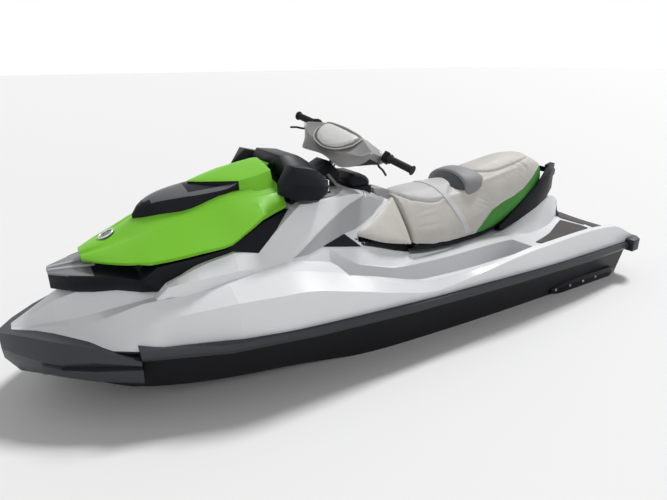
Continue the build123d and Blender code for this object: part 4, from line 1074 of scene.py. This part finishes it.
def patch(target, outline, thick, toward=(0, -1, 0), start=0.9, cuts=5):
    """A thin sheet laid on a mesh: an outline in mm carried onto its surface along a direction."""
    look = Vector(toward)
    upright_view = abs(look.z) > 0.5
    tree = tree_of(target)
    work = bmesh.new()
    work.faces.new([work.verts.new((p[0], p[1], 0) if upright_view else (p[0], 0, p[1])) for p in outline])
    bmesh.ops.triangulate(work, faces=work.faces)
    for _ in range(cuts):
        long_ones = [edge for edge in work.edges if edge.calc_length() > 24]
        if not long_ones:
            break
        bmesh.ops.subdivide_edges(work, edges=long_ones, cuts=1)
        bmesh.ops.triangulate(work, faces=work.faces)
    for v in work.verts:
        place, facing = tree.ray_cast(v.co * MM - look * start, look)[:2]
        v.co = place + facing * 0.0004 if place is not None else v.co * MM
    sheet_mesh = bpy.data.meshes.new("sheet")
    work.to_mesh(sheet_mesh)
    work.free()
    if sheet_mesh.polygons[0].normal.dot(look) > 0:
        sheet_mesh.flip_normals()
    return clean(baked(sheet_mesh, ("SOLIDIFY", {"thickness": thick, "offset": 1.0})), 1e-6)


def both_sides(target, outline, thick, start=0.9):
    return joined(*[patch(target, outline, thick, (0, way, 0), start) for way in (-1, 1)])


RIBBON = [(-94, 636), (60, 686), (95, 664), (119, 660), (249, 645), (381, 599), (484, 554), (579, 507),
          (606, 500), (528, 498), (446, 511), (314, 533), (245, 536), (84, 564), (60, 576), (-94, 616)]
ribbon_mesh = both_sides(deck_mesh, RIBBON, 0.004)
ribbon_finish = moulded("ribbon grey", (0.33, 0.335, 0.345), 0.4, shine=0.45)
settle("console_ribbon", ribbon_mesh, "cover_grey", "craft", "console_panels", sharp=20,
       finish=ribbon_finish)
TRIANGLE = [(447, 509), (311, 531), (216, 452)]
settle("console_triangle", both_sides(deck_mesh, TRIANGLE, 0.002, 0.45), "trim_black", "craft", sharp=20)
WEDGE = [(250, 496), (153, 465), (60, 430), (-29, 406), (-106, 386), (-106, 346), (-13, 375), (60, 401),
         (197, 451)]
settle("seat_shadow_strip", both_sides(deck_mesh, WEDGE, 0.005, 0.45), "trim_black", "craft", sharp=20)

TOP = (0, 0, -1)
MATS = [
    [(-850, 405), (-1080, 318), (-1250, 232), (-1350, 184), (-1382, 300), (-1370, 364), (-1240, 408),
     (-1100, 456), (-880, 468)],
    [(-1450, 5), (-1402, 152), (-1432, 296), (-1512, 236), (-1512, 5)],
    [(-1530, 5), (-1530, 232), (-1452, 314), (-1438, 352), (-1596, 356), (-1596, 5)],
]
mat_meshes = []
for outline in MATS:
    for side in (1, -1):
        mat_meshes.append(patch(deck_mesh, [(x, y * side) for x, y in outline], 0.0045, TOP))
mat_meshes += [block((-724, side * 352 - 38, 100), (374, side * 352 + 38, 105)) for side in (1, -1)]
settle("deck_mats", joined(*mat_meshes), "mat_grey", "craft", "traction_mats", sharp=30)

dressed("steering_neck", 3.0, slot="trim_black")

# Grey trim along the dash's port edge, and up beside the column
DASH_EDGE = [(448, 227, 707), (392, 216, 703), (335, 205, 699), (298, 184, 702), (264, 160, 706)]
DASH_RISE = [(262, 168, 702), (268, 140, 722), (276, 112, 744), (284, 88, 764)]
trim_flat = Vector((-0.15, 0.75, 0.65)).normalized()
trims = [ribbon([Vector(p) * MM for p in line], [trim_flat] * len(line), 0.017, 0.004)
         for line in (DASH_EDGE, DASH_RISE)]
settle("dash_trim", joined(*trims), "cover_grey", "craft", sharp=40)

# Grab handle: the shell, and a bow-shaped rail behind it
shell_mesh = cut(cad_copy("grab_handle"), block((-1480, -200, 400), (-1292, 200, 760)))
shell_mesh.materials.clear()
handle_outer = [(-1270, 126), (-1312, 118), (-1352, 96), (-1382, 60), (-1396, 20)]
handle_inner = [(-1270, 98), (-1304, 90), (-1332, 72), (-1354, 44), (-1366, 14)]
handle_line = handle_outer + [(x, -y) for x, y in handle_outer[::-1]]
handle_line += [(x, -y) for x, y in handle_inner] + handle_inner[::-1]
above_rail = prism([(-1200, 662), (-1420, 598), (-1420, 700), (-1200, 700)], -200, 200)
handle_bar = cut(prism(handle_line, 578, 655, "z"), above_rail)
settle("grab_rail", rounded(handle_bar, 0.007, 3, 28), "trim_black", "craft", sharp=35)
settle("grab_shell", rounded(shell_mesh, 0.004, 2, 28), "trim_black", "craft", "grab_handle", sharp=35)

for node in ("stern_bumpers", "sponsons", "ride_plate", "intake_grate", "dash", "hood_skirt", "mirror_pods",
             "glove_box", "glove_lid", "switch_housings", "storage_tub", "bumper_rail", "seat_base"):
    dressed(node)

# Bolt heads along each sponson
sponson_tree = tree_of(cad_copy("sponsons"))
bolts = []
for side in (1, -1):
    for x in (-960, -1080, -1200, -1320):
        at = sponson_tree.ray_cast(Vector((x * MM, side * 0.9, 0.036)), Vector((0, -side, 0)))[0]
        bolts.append(rod((x, at.y / MM - side * 4, 36), (x, at.y / MM + side * 3, 36), 8, 12))
settle("sponson_bolts", joined(*bolts), "steel", "craft", sharp=35)

replaced = {name for piece in bpy.data.objects for name in piece.get("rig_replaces", [])}
for name in nodes:
    if name not in replaced:
        dressed(name, 1.0, 30, 38)


# Floor and light

floor = mesh_from([(-60, -60, 0), (60, -60, 0), (60, 60, 0), (-60, 60, 0)], [(0, 1, 2, 3)], "floor")
floor_paint = Paint("pale floor", (0.86, 0.86, 0.86), 0.7)
floor.materials.append(floor_paint.material)
floor_object = bpy.data.objects.new("floor", floor)
bpy.context.collection.objects.link(floor_object)

world = bpy.data.worlds.new("studio")
world.use_nodes = True
sky = world.node_tree
background = sky.nodes["Background"]
background.inputs["Color"].default_value = (1, 1, 1, 1)
background.inputs["Strength"].default_value = 0.34
seen = sky.nodes.new("ShaderNodeBackground")
seen.inputs["Strength"].default_value = 1.0
seen.inputs["Color"].default_value = (1, 1, 1, 1)
path = sky.nodes.new("ShaderNodeLightPath")
straight = path.outputs["Is Camera Ray"]
for ray in ("Is Glossy Ray", "Is Transmission Ray"):
    either = sky.nodes.new("ShaderNodeMath")
    either.operation = "MAXIMUM"
    sky.links.new(straight, either.inputs[0])
    sky.links.new(path.outputs[ray], either.inputs[1])
    straight = either.outputs[0]
choose = sky.nodes.new("ShaderNodeMixShader")
sky.links.new(straight, choose.inputs["Fac"])
sky.links.new(background.outputs[0], choose.inputs[1])
sky.links.new(seen.outputs[0], choose.inputs[2])
sky.links.new(choose.outputs[0], sky.nodes["World Output"].inputs["Surface"])
bpy.context.scene.world = world


def sun(name, place, spread, strength):
    """Even light from one side, soft-edged, aimed at the middle of the craft."""
    lamp = bpy.data.lights.new(name, "SUN")
    lamp.angle = radians(spread)
    lamp.energy = strength
    holder = bpy.data.objects.new(name, lamp)
    holder.rotation_euler = (-Vector(place)).to_track_quat("-Z", "Y").to_euler()
    bpy.context.collection.objects.link(holder)


sun("key", (-1.7, -0.6, 2.6), 12, 2.3)
sun("fill", (1.6, 3.4, 1.6), 60, 0.4)

bpy.context.scene.view_settings.view_transform = "Standard"
